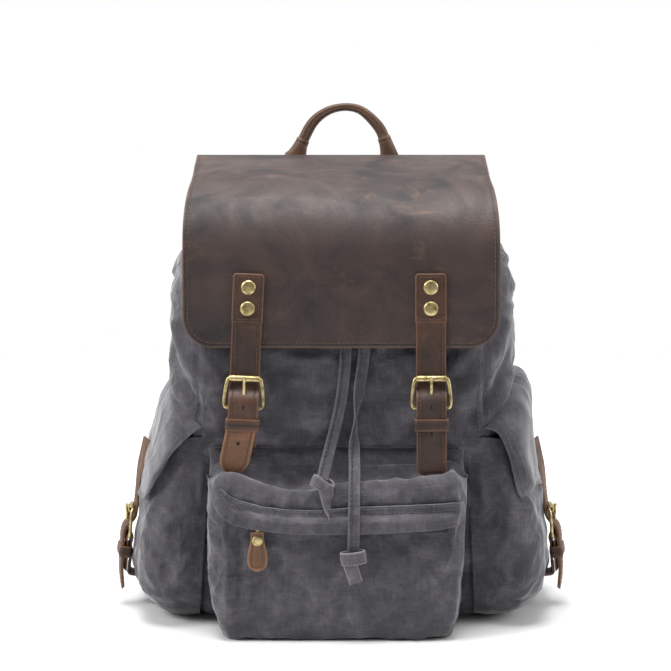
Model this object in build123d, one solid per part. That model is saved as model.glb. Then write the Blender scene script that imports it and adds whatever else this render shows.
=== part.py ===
from build123d import *
import os
from math import atan2, degrees, pi, radians, tan

# Canvas and leather rucksack, built the way the real one is sewn: canvas panels, a gathered mouth with a
# drawstring, a leather lid with buckled straps, a zipped front pocket and flapped side pockets.
# Millimetres. +Z is up, the front faces -Y, and the origin lies on the floor under the middle of the base.

# ---------------------------------------------------------------- driving dimensions
CANVAS = 2.0            # waxed canvas with its seam allowance
LEATHER = 2.4           # strap leather
BACK_Y = 80.0           # the flat back of the bag
SEAM_X = 125.0          # where the front and back panels are sewn to the side gussets
SHOULDER_Z = 318.0      # where the straight bag ends and the gathered collar begins
BASE_T = 2.5            # base panel thickness

# Outside of the bag: height, half width, front y, corner radius. The back stays at BACK_Y.
BODY = [
    (BASE_T, 143.0, -69.0, 34.0),
    (45.0, 150.0, -80.0, 40.0),
    (190.0, 153.0, -90.0, 44.0),
    (250.0, 153.0, -86.0, 45.0),
    (300.0, 151.0, -82.0, 46.0),
    (SHOULDER_Z, 149.0, -81.0, 46.0),
]
# The gathered collar above it: height, half width, front y, back y, corner radius.
COLLAR = [
    (SHOULDER_Z, 149.0, -81.0, 80.0, 46.0),
    (340.0, 134.0, -69.0, 74.0, 50.0),
    (358.0, 106.0, -54.0, 58.0, 46.0),
]
TUNNEL_H, TUNNEL_T = 13.0, 6.0      # drawstring tunnel round the mouth
EYELET_X, EYELET_R = 11.0, 6.5

LID_W = 275.0
LID_T, LID_LINING_T = 2.2, 0.9
HINGE_Y, HINGE_Z = 81.25, 400.3     # the fold of the lid along the top of the back
LID_BEND = (-84.0, 391.0)           # y, z of the lid's corner before it is rounded
LID_BEND_R = 50.0
LID_EDGE = (-93.0, 256.0)           # y, z of the lid's front edge
LID_CORNER_R = 27.0
STRIP_H, STRIP_T = 48.0, 2.5        # the part of the lid leather that is sewn to the back

# Lid straps: x of each and how far each leans sideways. Both hang in line with the front of the lid.
LID_STRAPS = {"left": (-82.0, -2.6), "right": (78.0, 0.4)}
STRAP_W = 26.0
STRAP_TOP_Z, STRAP_HINGE_Z = 320.0, 278.0
RIVET_Z = (308.5, 290.0)
RIVET_R = 6.5

# Buckled strap, in its own frame: hangs down -Z from its top, front face to -Y.
BAR_R, ROLLER_R, FIT = 1.6, 2.9, 0.08
STRAP_BEND_Z = -1.6     # the line a lid strap bends on, below its sewn head
BAR_Y = -4.3            # the buckle's plane
BUCKLE_H = 26.0         # roller to heel bar
TAIL_Y = -9.2           # strap centre where it lies over the heel bar
SEAT_GAP = 0.4          # between a magnetic snap's two halves

# Front pocket profile, y and z, from its top seam to the bottom, and its half width.
POCKET_HALF_W, POCKET_CORNER_R = 109.0, 20.0
POCKET_PROFILE = [
    (-60.0, 165.0), (-89.0, 165.0), (-93.0, 144.0), (-100.0, 134.0), (-110.0, 135.0), (-117.0, 139.0),
    (-124.0, 133.0), (-128.0, 121.0), (-128.0, 20.0), (-122.0, 5.0), (-112.0, 1.0), (-60.0, 1.0),
]
WALL_Y = -128.0         # outer face of the pocket where the zip lies
ZIP_Z = 106.0
ZIP_X = (-78.3, 94.0)
ZIP_SLIDER_X = -73.0

# Side pockets: height and half width of the outside, up to the mouth.
SIDE_SECTIONS = [(4.0, 171.0), (24.0, 181.0), (90.0, 180.0), (168.0, 171.0)]
SIDE_FRONT_Y, SIDE_BACK_Y = -84.0, 62.0
FLAP_HINGE = (154.5, 206.0)         # distance from the middle, and height, of the flap's seam
FLAP_BEND = (171.0, 200.0)
FLAP_EDGE = (185.0, 76.0)
FLAP_T = 2.4
FLAP_FRONT_Y, FLAP_BACK_Y = -93.0, 58.0
SIDE_STRAP_W, SIDE_STRAP_Y, SIDE_STRAP_TOP_Z = 20.0, -4.0, 154.0

PAD_T = 10.0            # back pad and shoulder pads
HANDLE_LEAN = 10.0
HANDLE_PIVOT = (85.4, 391.0)        # y, z
PAD_W = 55.0
SHOULDER_TOP = (91.4, 366.0)        # y, z of each shoulder strap's top end
SHOULDER_LOW = (124.0, 87.4, 30.0)  # distance from the middle, y and z of its bottom end
SHOULDER_X, SHOULDER_SPLAY = 46.0, 9.4

os.makedirs("parts", exist_ok=True)
SIDES = {"left": -1, "right": 1}


# ---------------------------------------------------------------- small tools
def save(name, *solids):
    """Writes one node, from one or more separate solids."""
    shapes = [s for item in solids for s in item.solids()]
    export_step(shapes[0] if len(shapes) == 1 else Compound(children=shapes), f"parts/{name}.step")


def block(x0, x1, y0, y1, z0, z1):
    return Pos((x0 + x1) / 2, (y0 + y1) / 2, (z0 + z1) / 2) * Box(x1 - x0, y1 - y0, z1 - z0)


def rod_x(y, z, radius, length, x=0.0):
    return Pos(x, y, z) * Rot(0, 90, 0) * Cylinder(radius, length)


def rod_y(x, z, radius, y0, y1):
    return Pos(x, (y0 + y1) / 2, z) * Rot(90, 0, 0) * Cylinder(radius, y1 - y0)


def bag_loft(sections, inset=0.0):
    """A solid through rounded rectangles given as height, half width, front y, back y and radius."""
    faces = []
    for z, half_w, front, back, radius in sections:
        outline = RectangleRounded(2 * (half_w - inset), back - front - 2 * inset, radius - inset)
        faces.append(Pos(0, (front + back) / 2, z) * outline)
    return loft(faces, ruled=True)


def ribbon(points, radius, width, thickness, offset=0.0):
    """A flat strip along a bent line in a plane of constant x, offset outwards from the line."""
    path = FilletPolyline(*points, radius=radius) if len(points) > 2 else Line(*points)
    plane = Plane(path @ 0, x_dir=(1, 0, 0), z_dir=path % 0)
    return sweep(plane * Pos(0, offset) * Rectangle(width, thickness), path=path)


def prism_yz(points, x0, x1):
    face = Plane.YZ * make_face(Polyline(*points, close=True))
    return Pos(x0, 0, 0) * extrude(face, amount=x1 - x0)


def prism_xz(points, y0, y1):
    face = Plane.XZ * make_face(Polyline(*points, close=True))
    return Pos(0, y1, 0) * extrude(face, amount=y1 - y0)


# ---------------------------------------------------------------- bag
BODY_SECTIONS = [(z, w, front, BACK_Y, r) for z, w, front, r in BODY]
body_solid = bag_loft(BODY_SECTIONS)


def bag_panels():
    shell = body_solid - bag_loft(BODY_SECTIONS, CANVAS)
    middle = block(-SEAM_X, SEAM_X, -200, 0, 0, 400)
    save("bag_front_panel", shell & middle)
    # The back panel runs on above the shoulder, up to the fold of the lid.
    top = prism_xz([(-140, SHOULDER_Z), (140, SHOULDER_Z), (132, 398), (-132, 398)],
                   BACK_Y - CANVAS, BACK_Y)
    save("bag_back_panel", (shell & block(-SEAM_X, SEAM_X, 0, 200, 0, 400)) + top)
    save("bag_side_gussets", shell & block(-300, -SEAM_X, -200, 200, 0, 400),
         shell & block(SEAM_X, 300, -200, 200, 0, 400))
    z, half_w, front, back, radius = BODY_SECTIONS[0]
    outline = Pos(0, (front + back) / 2) * RectangleRounded(2 * half_w, back - front, radius)
    save("bag_base_panel", extrude(outline, amount=BASE_T))
    board = Pos(0, (front + back) / 2, BASE_T + 0.2) * RectangleRounded(2 * half_w - 16, back - front - 16, 24)
    save("base_stiffener", extrude(board, amount=2.4))


def lining():
    gap, cloth, floor_z = CANVAS + 0.6, 0.8, BASE_T + 3.2
    outer = bag_loft(BODY_SECTIONS, gap) & block(-300, 300, -200, 200, floor_z, SHOULDER_Z - 0.5)
    inner = bag_loft(BODY_SECTIONS, gap + cloth) & block(-300, 300, -200, 200, floor_z + cloth, SHOULDER_Z)
    save("bag_lining", outer - inner)


def ring(inset_out, inset_in, z, height):
    """A closed band that follows the mouth of the bag."""
    _, half_w, front, back, radius = COLLAR[-1]
    bands = []
    for inset in (inset_out, inset_in):
        outline = RectangleRounded(2 * (half_w - inset), back - front - 2 * inset, radius - inset)
        bands.append(extrude(Pos(0, (front + back) / 2, z) * outline, amount=height))
    return bands[0] - bands[1]


def collar_and_tunnel():
    top_z, _, front, _, _ = COLLAR[-1]
    middle_z = top_z + TUNNEL_H / 2
    # The collar stands just inside the back panel, which is flat.
    save("collar", bag_loft(COLLAR) - bag_loft(COLLAR, CANVAS) - block(-300, 300, BACK_Y - CANVAS, 90, 0, 400))
    holes = [rod_y(x, middle_z, EYELET_R / 2, front - 5, front + 3) for x in (-EYELET_X, EYELET_X)]
    tunnel = ring(0, TUNNEL_T, top_z, TUNNEL_H) - ring(1.4, 4.6, top_z + 1.5, TUNNEL_H - 3)
    save("drawstring_tunnel", tunnel - holes[0] - holes[1])
    save("drawstring_loop", ring(2.2, 3.8, top_z + 2.5, TUNNEL_H - 5))
    eyelets = [rod_y(x, middle_z, EYELET_R, front - 1.4, front) - rod_y(x, middle_z, EYELET_R / 2, front - 5, front + 3)
               for x in (-EYELET_X, EYELET_X)]
    save("eyelets", *eyelets)


def back():
    pad = Plane.XZ * Pos(0, 200.5) * RectangleRounded(212, 289, 40)
    pad = Pos(0, BACK_Y + PAD_T, 0) * extrude(pad, amount=PAD_T)
    save("back_pad", fillet(pad.faces().sort_by(Axis.Y)[-1].edges(), 4.0))
    half = LID_W / 2
    top = HINGE_Z - 1.8
    save("lid_anchor_strip", block(-half, half, BACK_Y, BACK_Y + STRIP_T, top - STRIP_H, top))


# ---------------------------------------------------------------- drawstring
# Each tape leaves its eyelet under the lid, hangs down the front and ends in a knot. The solid is a tube with
# the tape's cross-section area; the tape itself is flat, 10 mm wide.
TAPE_R = 2.2
EYELET_FACE_Y = COLLAR[-1][2] - 1.4
EYELET_Z = COLLAR[-1][0] + TUNNEL_H / 2
TAPE_ROUTES = {
    "left": [
        (-EYELET_X, EYELET_FACE_Y, EYELET_Z), (-9.5, -68.0, 361.5), (-6.0, -80.0, 345.0), (-1.0, -85.0, 318.0),
        (3.5, -86.5, 283.0), (4.2, -89.6, 246.0), (0.2, -93.0, 206.0), (-8.5, -97.5, 172.0),
        (-14.0, -111.0, 153.0), (-16.5, -124.5, 145.5),
    ],
    "right": [
        (EYELET_X, EYELET_FACE_Y, EYELET_Z), (12.5, -68.0, 361.5), (16.0, -80.0, 345.0), (20.0, -85.0, 318.0),
        (22.0, -86.5, 283.0), (20.0, -89.6, 246.0), (14.0, -93.0, 207.0), (11.0, -98.0, 176.0),
        (11.8, -112.0, 152.0), (11.2, -130.0, 137.0), (11.0, -139.5, 112.0), (10.4, -140.3, 83.0),
    ],
}


def tape_tube(points):
    """A tube along straight runs joined by arcs as large as the runs allow."""
    vectors = [Vector(*p) for p in points]
    radii = []
    for a, b, c in zip(vectors, vectors[1:], vectors[2:]):
        turn = radians((b - a).get_angle(c - b))
        radii.append(0.45 * min((b - a).length, (c - b).length) / tan(turn / 2))
    path = FilletPolyline(*points, radius=radii)
    return sweep(Plane(path @ 0, z_dir=path % 0) * Circle(TAPE_R), path=path), path


def drawstrings():
    knots = []
    for side, points in TAPE_ROUTES.items():
        tube, path = tape_tube(points)
        save(f"drawstring_{side}", tube)
        knot = Plane(path @ 1, x_dir=(1, 0, 0), z_dir=path % 1) * Pos(0, 0, 9) * Box(17, 9, 18)
        knots.append(fillet(knot.edges(), 2.5))
    save("drawstring_knots", *knots)


# ---------------------------------------------------------------- buckled strap
def buckled_strap(width, top, roller_z, tail_z, chape_z, seat_h):
    """The strap and its buckle, in their own frame. The strap goes behind the roller, over the heel bar and
    through the keeper. The prong stands in a slot of the strap and rests on the roller."""
    heel_z = roller_z - BUCKLE_H
    path = [(0, 0, top), (0, 0, roller_z - 4), (0, TAIL_Y, heel_z + 4), (0, TAIL_Y, heel_z - 28),
            (0, TAIL_Y + 3.5, tail_z)]
    strap = ribbon(path, 4.0, width, LEATHER)
    tongue = Plane.XZ * Pos(0, (top + tail_z) / 2) * Rectangle(width, top - tail_z)
    tongue = fillet(tongue.vertices().sort_by(Axis.Z)[:2], width * 0.42)
    strap &= Pos(0, 30, 0) * extrude(tongue, amount=60)
    slots = [(heel_z + 9.3, 15.0), (heel_z - 17.0, 7.0)]
    for z, height in slots:
        hole = Plane.XZ * Pos(0, z) * SlotOverall(height, 4.4, rotation=90)
        strap -= Pos(0, 30, 0) * extrude(hole, amount=60)

    half = width / 2 + 3.4
    loop = Plane.XZ.offset(-BAR_Y) * Pos(0, (roller_z + heel_z) / 2) * RectangleRounded(2 * half, BUCKLE_H, 3.4)
    wire = loop.wires()[0]
    frame = sweep(Plane(wire @ 0, z_dir=wire % 0) * Circle(BAR_R), path=wire)

    def tube(z, outer, length):
        return rod_x(BAR_Y, z, outer, length) - rod_x(BAR_Y, z, BAR_R + FIT, length + 2)

    roller = tube(roller_z, ROLLER_R, 2 * half - 8.4)
    prong_path = Line((0, BAR_Y - 1.2, heel_z + 2.0), (0, BAR_Y - 4.9, roller_z + 2.0))
    arm = sweep(Plane(prong_path @ 0, z_dir=prong_path % 0) * Circle(1.3), path=prong_path)
    prong = (arm + rod_x(BAR_Y, heel_z, 3.3, 3.6)) - rod_x(BAR_Y, heel_z, BAR_R + FIT, 10)

    chape_w = width - 1.0
    chape = rod_x(BAR_Y, heel_z, 3.5, chape_w) + block(
        -chape_w / 2, chape_w / 2, BAR_Y - 1.8, BAR_Y + 1.8, chape_z, heel_z)
    chape -= rod_x(BAR_Y, heel_z, BAR_R + FIT, chape_w + 2)
    chape -= block(-2.5, 2.5, BAR_Y - 6, BAR_Y + 6, heel_z - 5, heel_z + 6)
    keeper_z = heel_z - 14
    keeper = block(-width / 2 - 1.9, width / 2 + 1.9, TAIL_Y - 2.9, BAR_Y + 3.6, keeper_z - 5, keeper_z + 5)
    keeper -= block(-width / 2 - 0.4, width / 2 + 0.4, TAIL_Y - 1.5, BAR_Y + 2.1, keeper_z - 9, keeper_z + 9)
    keeper = fillet(keeper.edges().filter_by(Axis.Z), 0.6)
    # The other half of the snap is a leather tab on the bag. It stands off and turns up behind the chape.
    seat_y = BAR_Y + 1.8 + SEAT_GAP + LEATHER / 2
    seat = ribbon([(0, 40, chape_z - 3), (0, seat_y, chape_z - 3), (0, seat_y, chape_z + seat_h)], 3.0,
                  chape_w, LEATHER)
    return {"strap": strap, "buckle": frame, "roller": roller, "prong": prong, "chape": chape,
            "keeper": keeper, "seat": seat}


LID_SLOPE = degrees(atan2(LID_BEND[0] - LID_EDGE[0], LID_BEND[1] - LID_EDGE[1]))


def lid_place(side):
    """On the outside of the lid leather, where the strap leaves its sewn head."""
    x, lean = LID_STRAPS[side]
    y = LID_EDGE[0] + (STRAP_HINGE_Z - LID_EDGE[1]) * tan(radians(LID_SLOPE))
    return Pos(x, y, STRAP_HINGE_Z) * Rot(-LID_SLOPE, 0, 0) * Rot(0, -lean, 0) * Pos(0, -LID_T, 0)


def lid_straps():
    """The hanging straps of the lid, with their buckles."""
    seats = []
    for side in SIDES:
        parts = buckled_strap(STRAP_W, top=STRAP_BEND_Z, roller_z=-49.0, tail_z=-135.0, chape_z=-108.0, seat_h=11.0)
        parts["strap"] += rod_x(0, STRAP_BEND_Z, LEATHER / 2, STRAP_W)
        place = lid_place(side) * Pos(0, -LEATHER / 2 - 0.15, 0)
        for name in ("strap", "buckle", "roller", "prong"):
            save(f"{name}_{side}", place * parts[name])
        save(f"buckle_leathers_{side}", place * parts["chape"], place * parts["keeper"])
        seats.append(place * parts["seat"] - body_solid - pocket_block(0))
    return seats


# ---------------------------------------------------------------- lid
def lid():
    path = [(0, HINGE_Y, HINGE_Z), (0, *LID_BEND), (0, *LID_EDGE)]
    outline = Plane.XZ * Pos(0, LID_EDGE[1] + 60) * Rectangle(LID_W, 120)
    outline = fillet(outline.vertices().sort_by(Axis.Z)[:2], LID_CORNER_R)
    corners = block(-200, 200, -130, -60, 200, 300) - Pos(0, -50, 0) * extrude(outline, amount=90)
    leather = ribbon(path, LID_BEND_R, LID_W, LID_T, LID_T / 2) - corners
    cloth = ribbon(path, LID_BEND_R, LID_W - 8, LID_LINING_T, -LID_LINING_T / 2) - Pos(0, 0, 4) * corners

    # Rivets go through the strap head, the leather and the lining, square to the front of the lid.
    heads, rivets = [], []
    height = STRAP_TOP_Z - STRAP_HINGE_Z
    for side in SIDES:
        place = lid_place(side)
        head = Plane.XZ * Pos(0, height / 2) * Rectangle(STRAP_W + 1, height)
        head = fillet(head.vertices().sort_by(Axis.Z)[-2:], 5.0)
        head = extrude(head, amount=LEATHER)
        back_y = LID_T + LID_LINING_T
        for z in RIVET_Z:
            z -= STRAP_HINGE_Z
            shank = rod_y(0, z, 1.5, -LEATHER, back_y)
            hole = rod_y(0, z, 1.5 + FIT, -20, 20)
            cap = rod_y(0, z, RIVET_R, -LEATHER - 2.0, -LEATHER)
            cap = fillet(cap.faces().sort_by(Axis.Y)[0].edges(), 1.4)
            back_cap = rod_y(0, z, 4.5, back_y, back_y + 1.0)
            rivets.append(place * (cap + shank + back_cap))
            head -= hole
            leather -= place * hole
            cloth -= place * hole
        heads.append(place * head)
    save("lid_leather", leather)
    save("lid_lining", cloth)
    save("strap_heads", *heads)
    save("lid_rivets", *rivets)


# ---------------------------------------------------------------- front pocket
def pocket_block(inset):
    """The pocket as a solid: its profile across the bag, cut to a rounded plan."""
    profile = make_face(Polyline(*POCKET_PROFILE, close=True))
    if inset:
        profile = offset(profile, -inset, kind=Kind.INTERSECTION)
    plan = Pos(0, -80) * RectangleRounded(2 * (POCKET_HALF_W - inset), 96 - 2 * inset, POCKET_CORNER_R - inset)
    return extrude(Plane.YZ * profile, amount=POCKET_HALF_W - inset, both=True) & extrude(plan, amount=300)


def front_pocket():
    zip_slot = block(ZIP_X[0], ZIP_X[1], WALL_Y - 1, WALL_Y + CANVAS + 1, ZIP_Z - 8, ZIP_Z + 8)
    base = block(-200, 200, BODY[0][2] - 0.3, 0, -1, BASE_T)
    save("front_pocket", pocket_block(0) - pocket_block(CANVAS) - body_solid - zip_slot - base)
    # The cover band is sewn above the zip and stands off below, over the slider.
    band = prism_yz([(WALL_Y, 121), (WALL_Y, 118), (WALL_Y - 7.2, 101), (WALL_Y - 9.4, 101), (WALL_Y - 4.5, 119)],
                    -POCKET_HALF_W + 15, POCKET_HALF_W - 15)
    save("zip_cover_band", band)
    tapes = [block(*ZIP_X, WALL_Y, WALL_Y + 0.8, ZIP_Z + 2.4, ZIP_Z + 8),
             block(*ZIP_X, WALL_Y, WALL_Y + 0.8, ZIP_Z - 8, ZIP_Z - 2.4)]
    save("zip_tapes", *tapes)
    rails = [block(*ZIP_X, WALL_Y - 0.8, WALL_Y + 1.6, ZIP_Z + 0.8, ZIP_Z + 2.4),
             block(*ZIP_X, WALL_Y - 0.8, WALL_Y + 1.6, ZIP_Z - 2.4, ZIP_Z - 0.8)]
    stops = [block(x, x + 2, WALL_Y - 0.8, WALL_Y + 1.6, ZIP_Z - 0.8, ZIP_Z + 0.8) for x in (ZIP_X[0], ZIP_X[1] - 2)]
    save("zip_teeth", *rails, *stops)
    # The slider's two plates are joined by a neck between the rails; its bail holds the pull.
    front = fillet(block(-4.5, 4.5, WALL_Y - 2.7, WALL_Y - 1.1, ZIP_Z - 4, ZIP_Z + 4).edges().filter_by(Axis.Y), 1.5)
    plate = block(-4, 4, WALL_Y + 1.9, WALL_Y + 3.1, ZIP_Z - 3.5, ZIP_Z + 3.5)
    neck = block(-3, 3, WALL_Y - 1.1, WALL_Y + 1.9, ZIP_Z - 0.5, ZIP_Z + 0.5)
    bail = block(-1.2, 1.2, WALL_Y - 4.6, WALL_Y - 2.7, ZIP_Z - 9.2, ZIP_Z - 1.5)
    bail -= rod_x(WALL_Y - 3.8, ZIP_Z - 7.6, 0.9, 10)
    save("zip_slider", Pos(ZIP_SLIDER_X, 0, 0) * (front + plate + neck + bail))
    pull_y, pull_z = WALL_Y - 3.8, ZIP_Z - 7.6
    tab = Plane.XZ * make_face(Polyline((-5.6, 2.6), (5.6, 2.6), (8.6, -24), (5.4, -31.5), (0, -33.5), (-5.4, -31.5),
                                        (-8.6, -24), close=True))
    tab = Pos(0, 1.1, 0) * extrude(tab, amount=2.2)
    tab -= block(-1.7, 1.7, -5, 5, -2.4, 5)
    tab -= rod_y(0, -6.5, 1.6, -5, 5)
    tab -= rod_x(0, 0, 0.75, 8)
    rivet = rod_y(0, -6.5, 4.2, -2.6, -1.1) + rod_y(0, -6.5, 1.5, -1.1, 1.1) + rod_y(0, -6.5, 3.0, 1.1, 1.7)
    pin = rod_x(0, 0, 0.65, 7)
    place = Pos(ZIP_SLIDER_X, pull_y, pull_z)
    save("pull_tab", place * tab)
    save("pull_rivet", place * rivet, place * pin)


# ---------------------------------------------------------------- side pockets and their flaps
def side_pocket_solid(inset):
    """The right pocket as a solid, narrower at the mouth and at the floor."""
    sections = []
    for number, (z, out) in enumerate(SIDE_SECTIONS):
        z += inset if number == 0 else 0
        width, depth = out - 120 + 10 * inset, SIDE_BACK_Y - SIDE_FRONT_Y
        plan = Pos(out - width / 2 - inset, (SIDE_BACK_Y + SIDE_FRONT_Y) / 2) * RectangleRounded(
            width, depth - 2 * inset, 20 - inset)
        sections.append(Pos(0, 0, z) * plan)
    return loft(sections, ruled=True)


def side_pocket():
    """An open pouch. Its inner wall is the bag itself, so the hollow runs on past x = 120."""
    return side_pocket_solid(0) - side_pocket_solid(CANVAS) - body_solid - block(0, 121.5, -200, 200, -10, 300)


def side_flap():
    """The right flap: a sheet from its seam over the mouth and down the outside, with a lobe at the front."""
    hinge, bend, edge = ((d, 0.0, z) for d, z in (FLAP_HINGE, FLAP_BEND, FLAP_EDGE))
    path = FilletPolyline(hinge, bend, edge, radius=9.0)
    depth = FLAP_BACK_Y - FLAP_FRONT_Y
    plane = Plane(path @ 0, x_dir=(0, 1, 0), z_dir=path % 0)
    sheet = sweep(plane * Rectangle(depth, FLAP_T), path=path)
    sheet = Pos(0, (FLAP_BACK_Y + FLAP_FRONT_Y) / 2, 0) * sheet
    # The drop is a tongue: its lower corners are cut away to the front and the back.
    tongue = Plane.YZ * make_face(Polyline((-95, 220), (63, 220), (63, 125), (26, 70), (-34, 70), (-95, 112), close=True))
    sheet &= Pos(100, 0, 0) * extrude(tongue, amount=120)
    lobe = prism_xz([(124, 171), (152, 204), (171, 199.5), (175, 165), (181, 114), (172, 112)],
                    FLAP_FRONT_Y, FLAP_FRONT_Y + FLAP_T)
    return sheet + lobe


def side_strap_place():
    """The right strap's frame follows the drop of the flap, with its front outwards."""
    drop = degrees(atan2(FLAP_EDGE[0] - FLAP_BEND[0], FLAP_BEND[1] - FLAP_EDGE[1]))
    out = FLAP_BEND[0] + (FLAP_BEND[1] - SIDE_STRAP_TOP_Z) * tan(radians(drop)) + FLAP_T / 2 + LEATHER / 2 + 0.1
    return Pos(out, SIDE_STRAP_Y, SIDE_STRAP_TOP_Z) * Rot(0, 0, 90) * Rot(-drop, 0, 0)


def on_side(sign, shape):
    return shape if sign > 0 else mirror(shape, about=Plane.YZ)


def side_flaps():
    seats = []
    parts = buckled_strap(SIDE_STRAP_W, top=0.0, roller_z=-64.0, tail_z=-141.0, chape_z=-122.0, seat_h=9.0)
    pouch, flap, place = side_pocket(), side_flap(), side_strap_place()
    for side, sign in SIDES.items():
        save(f"side_pocket_{side}", on_side(sign, pouch))
        save(f"flap_{side}", on_side(sign, flap))
        for name in ("strap", "buckle", "roller", "prong"):
            save(f"flap_{name}_{side}", on_side(sign, place * parts[name]))
        save(f"flap_leathers_{side}", on_side(sign, place * parts["chape"]), on_side(sign, place * parts["keeper"]))
        seats.append(on_side(sign, place * parts["seat"] - side_pocket_solid(0)))
    return seats


# ---------------------------------------------------------------- handle and shoulder straps
def handle():
    """A rolled leather arch on two flat feet, leaning back from the top of the bag."""
    foot_x, span_x, foot_top, arch_z, apex_z = 41.0, 33.0, 15.0, 29.5, 51.5
    arch = ThreePointArc((-span_x, 0, arch_z), (0, 0, apex_z), (span_x, 0, arch_z))
    left = Line((-foot_x, 0, foot_top), (-span_x, 0, arch_z))
    right = Line((span_x, 0, arch_z), (foot_x, 0, foot_top))
    solid = None
    for piece in (left, arch, right):
        tube = sweep(Plane(piece @ 0, z_dir=piece % 0) * Circle(3.9), path=piece)
        solid = tube if solid is None else solid + tube
    solid += Pos(-span_x, 0, arch_z) * Sphere(3.9)
    solid += Pos(span_x, 0, arch_z) * Sphere(3.9)
    for sign in (-1, 1):
        foot = Plane.XZ * Pos(sign * foot_x, 11.5) * Trapezoid(21, 25, 84)
        solid += Pos(0, 1.6, 0) * extrude(foot, amount=3.2)
    place = Pos(0, *HANDLE_PIVOT) * Rot(-HANDLE_LEAN, 0, 0)
    save("handle", place * solid)


def shoulder_straps():
    """Each strap hangs clear of the back from its top end to its bottom end, and can turn about that line."""
    top_y, top_z = SHOULDER_TOP
    path = [(0, 96.6, 340.0), (0, 112.0, 300.0), (0, 119.0, 232.0), (0, 114.0, 168.0), (0, 105.5, 134.0)]
    for side, sign in SIDES.items():
        outline = Plane.XZ * Pos(0, 229) * RectangleRounded(PAD_W, 196, 24.0)
        pad = ribbon(path, 60.0, PAD_W + 4, PAD_T) & Pos(0, 200, 0) * extrude(outline, amount=150)
        upper = ribbon([(0, top_y, top_z), (0, 92.5, 347.0), (0, 106.0, 316.0)], 12.0, 26.0, LEATHER)
        lower = ribbon([(0, 106.8, 138.0), (0, 102.4, 120.5)], 0, 25.0, LEATHER)
        place = Pos(sign * SHOULDER_X, 0, top_z) * Rot(0, -sign * SHOULDER_SPLAY, 0) * Pos(0, 0, -top_z)
        save(f"shoulder_pad_{side}", place * (pad + upper + lower))
        # A three-bar slider: the webbing threads its two slots.
        adjuster = block(-16, 16, -1.6, 1.6, -9, 9)
        adjuster = fillet(adjuster.edges().filter_by(Axis.Y), 2.5)
        for z in (-4.0, 4.0):
            adjuster -= block(-13, 13, -3, 3, z - 2.4, z + 2.4)
        save(f"adjuster_{side}", place * Pos(0, 100.2, 111.3) * Rot(-14, 0, 0) * adjuster)
        low = Vector(sign * SHOULDER_LOW[0], *SHOULDER_LOW[1:])
        high = (place * Pos(0, 97.4, 99.5)).position
        along = (high - low).normalized()
        webbing = extrude(Plane(low, x_dir=(1, 0, 0), z_dir=along) * Rectangle(25.0, 1.8), amount=(high - low).length)
        save(f"webbing_{side}", webbing)
    yoke = Plane.XZ * Pos(0, 365) * RectangleRounded(150, 26, 6)
    save("strap_yoke", Pos(0, BACK_Y + STRIP_T + 3.6, 0) * extrude(yoke, amount=3.6))


def anchor_tabs():
    """Leather corners, sewn into the back corner seams, that hold the lower ends of the shoulder straps."""
    tabs = []
    for sign in SIDES.values():
        tab = block(sign * 126 - 17, sign * 126 + 17, 64, 83.4, 12, 46)
        tab = fillet(tab.edges().filter_by(Axis.Y), 6.0)
        tabs.append(tab - body_solid - block(-117, 117, 40, 95, 0, 300))
    save("strap_anchor_tabs", *tabs)


bag_panels()
lining()
collar_and_tunnel()
back()
drawstrings()
lid()
front_pocket()
save("snap_tabs", *lid_straps(), *side_flaps())
handle()
shoulder_straps()
anchor_tabs()
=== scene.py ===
from math import atan2, cos, exp, hypot, pi, radians, sin, sqrt, tau

import bmesh
import bpy
from mathutils import Matrix, Vector, noise
from mathutils.geometry import intersect_point_line
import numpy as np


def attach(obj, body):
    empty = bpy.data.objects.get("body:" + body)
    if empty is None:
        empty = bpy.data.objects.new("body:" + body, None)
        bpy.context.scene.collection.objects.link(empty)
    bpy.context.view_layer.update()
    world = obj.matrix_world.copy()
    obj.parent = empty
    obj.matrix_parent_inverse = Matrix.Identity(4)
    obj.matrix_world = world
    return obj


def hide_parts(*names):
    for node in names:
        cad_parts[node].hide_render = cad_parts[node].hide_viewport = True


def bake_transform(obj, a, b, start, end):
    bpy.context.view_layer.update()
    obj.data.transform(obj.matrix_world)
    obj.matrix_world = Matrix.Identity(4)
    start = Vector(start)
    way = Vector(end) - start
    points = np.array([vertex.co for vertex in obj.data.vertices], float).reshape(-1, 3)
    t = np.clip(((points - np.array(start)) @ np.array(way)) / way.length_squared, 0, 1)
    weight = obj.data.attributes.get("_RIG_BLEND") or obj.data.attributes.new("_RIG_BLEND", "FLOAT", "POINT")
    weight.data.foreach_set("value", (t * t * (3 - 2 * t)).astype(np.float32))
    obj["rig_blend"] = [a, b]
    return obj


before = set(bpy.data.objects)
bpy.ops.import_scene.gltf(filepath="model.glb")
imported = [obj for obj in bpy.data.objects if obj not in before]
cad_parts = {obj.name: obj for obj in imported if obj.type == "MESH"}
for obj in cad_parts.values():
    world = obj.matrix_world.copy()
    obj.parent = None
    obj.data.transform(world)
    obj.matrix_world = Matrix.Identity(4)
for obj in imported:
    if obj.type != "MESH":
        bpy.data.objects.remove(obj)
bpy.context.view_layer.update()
noise.seed_set(5)   # the creases are the same each run

# Shapes are drawn in millimetres and brought to metres when a piece is finished. +Z is up, the front faces -Y.
SIDES = {"left": -1, "right": 1}


# ---------------------------------------------------------------- nodes and colour
def linear(code):
    """An sRGB hex colour as linear red, green, blue and alpha."""
    parts = [int(code[i:i + 2], 16) / 255 for i in (1, 3, 5)]
    return [((c + 0.055) / 1.055) ** 2.4 if c > 0.04045 else c / 12.92 for c in parts] + [1.0]


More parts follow.
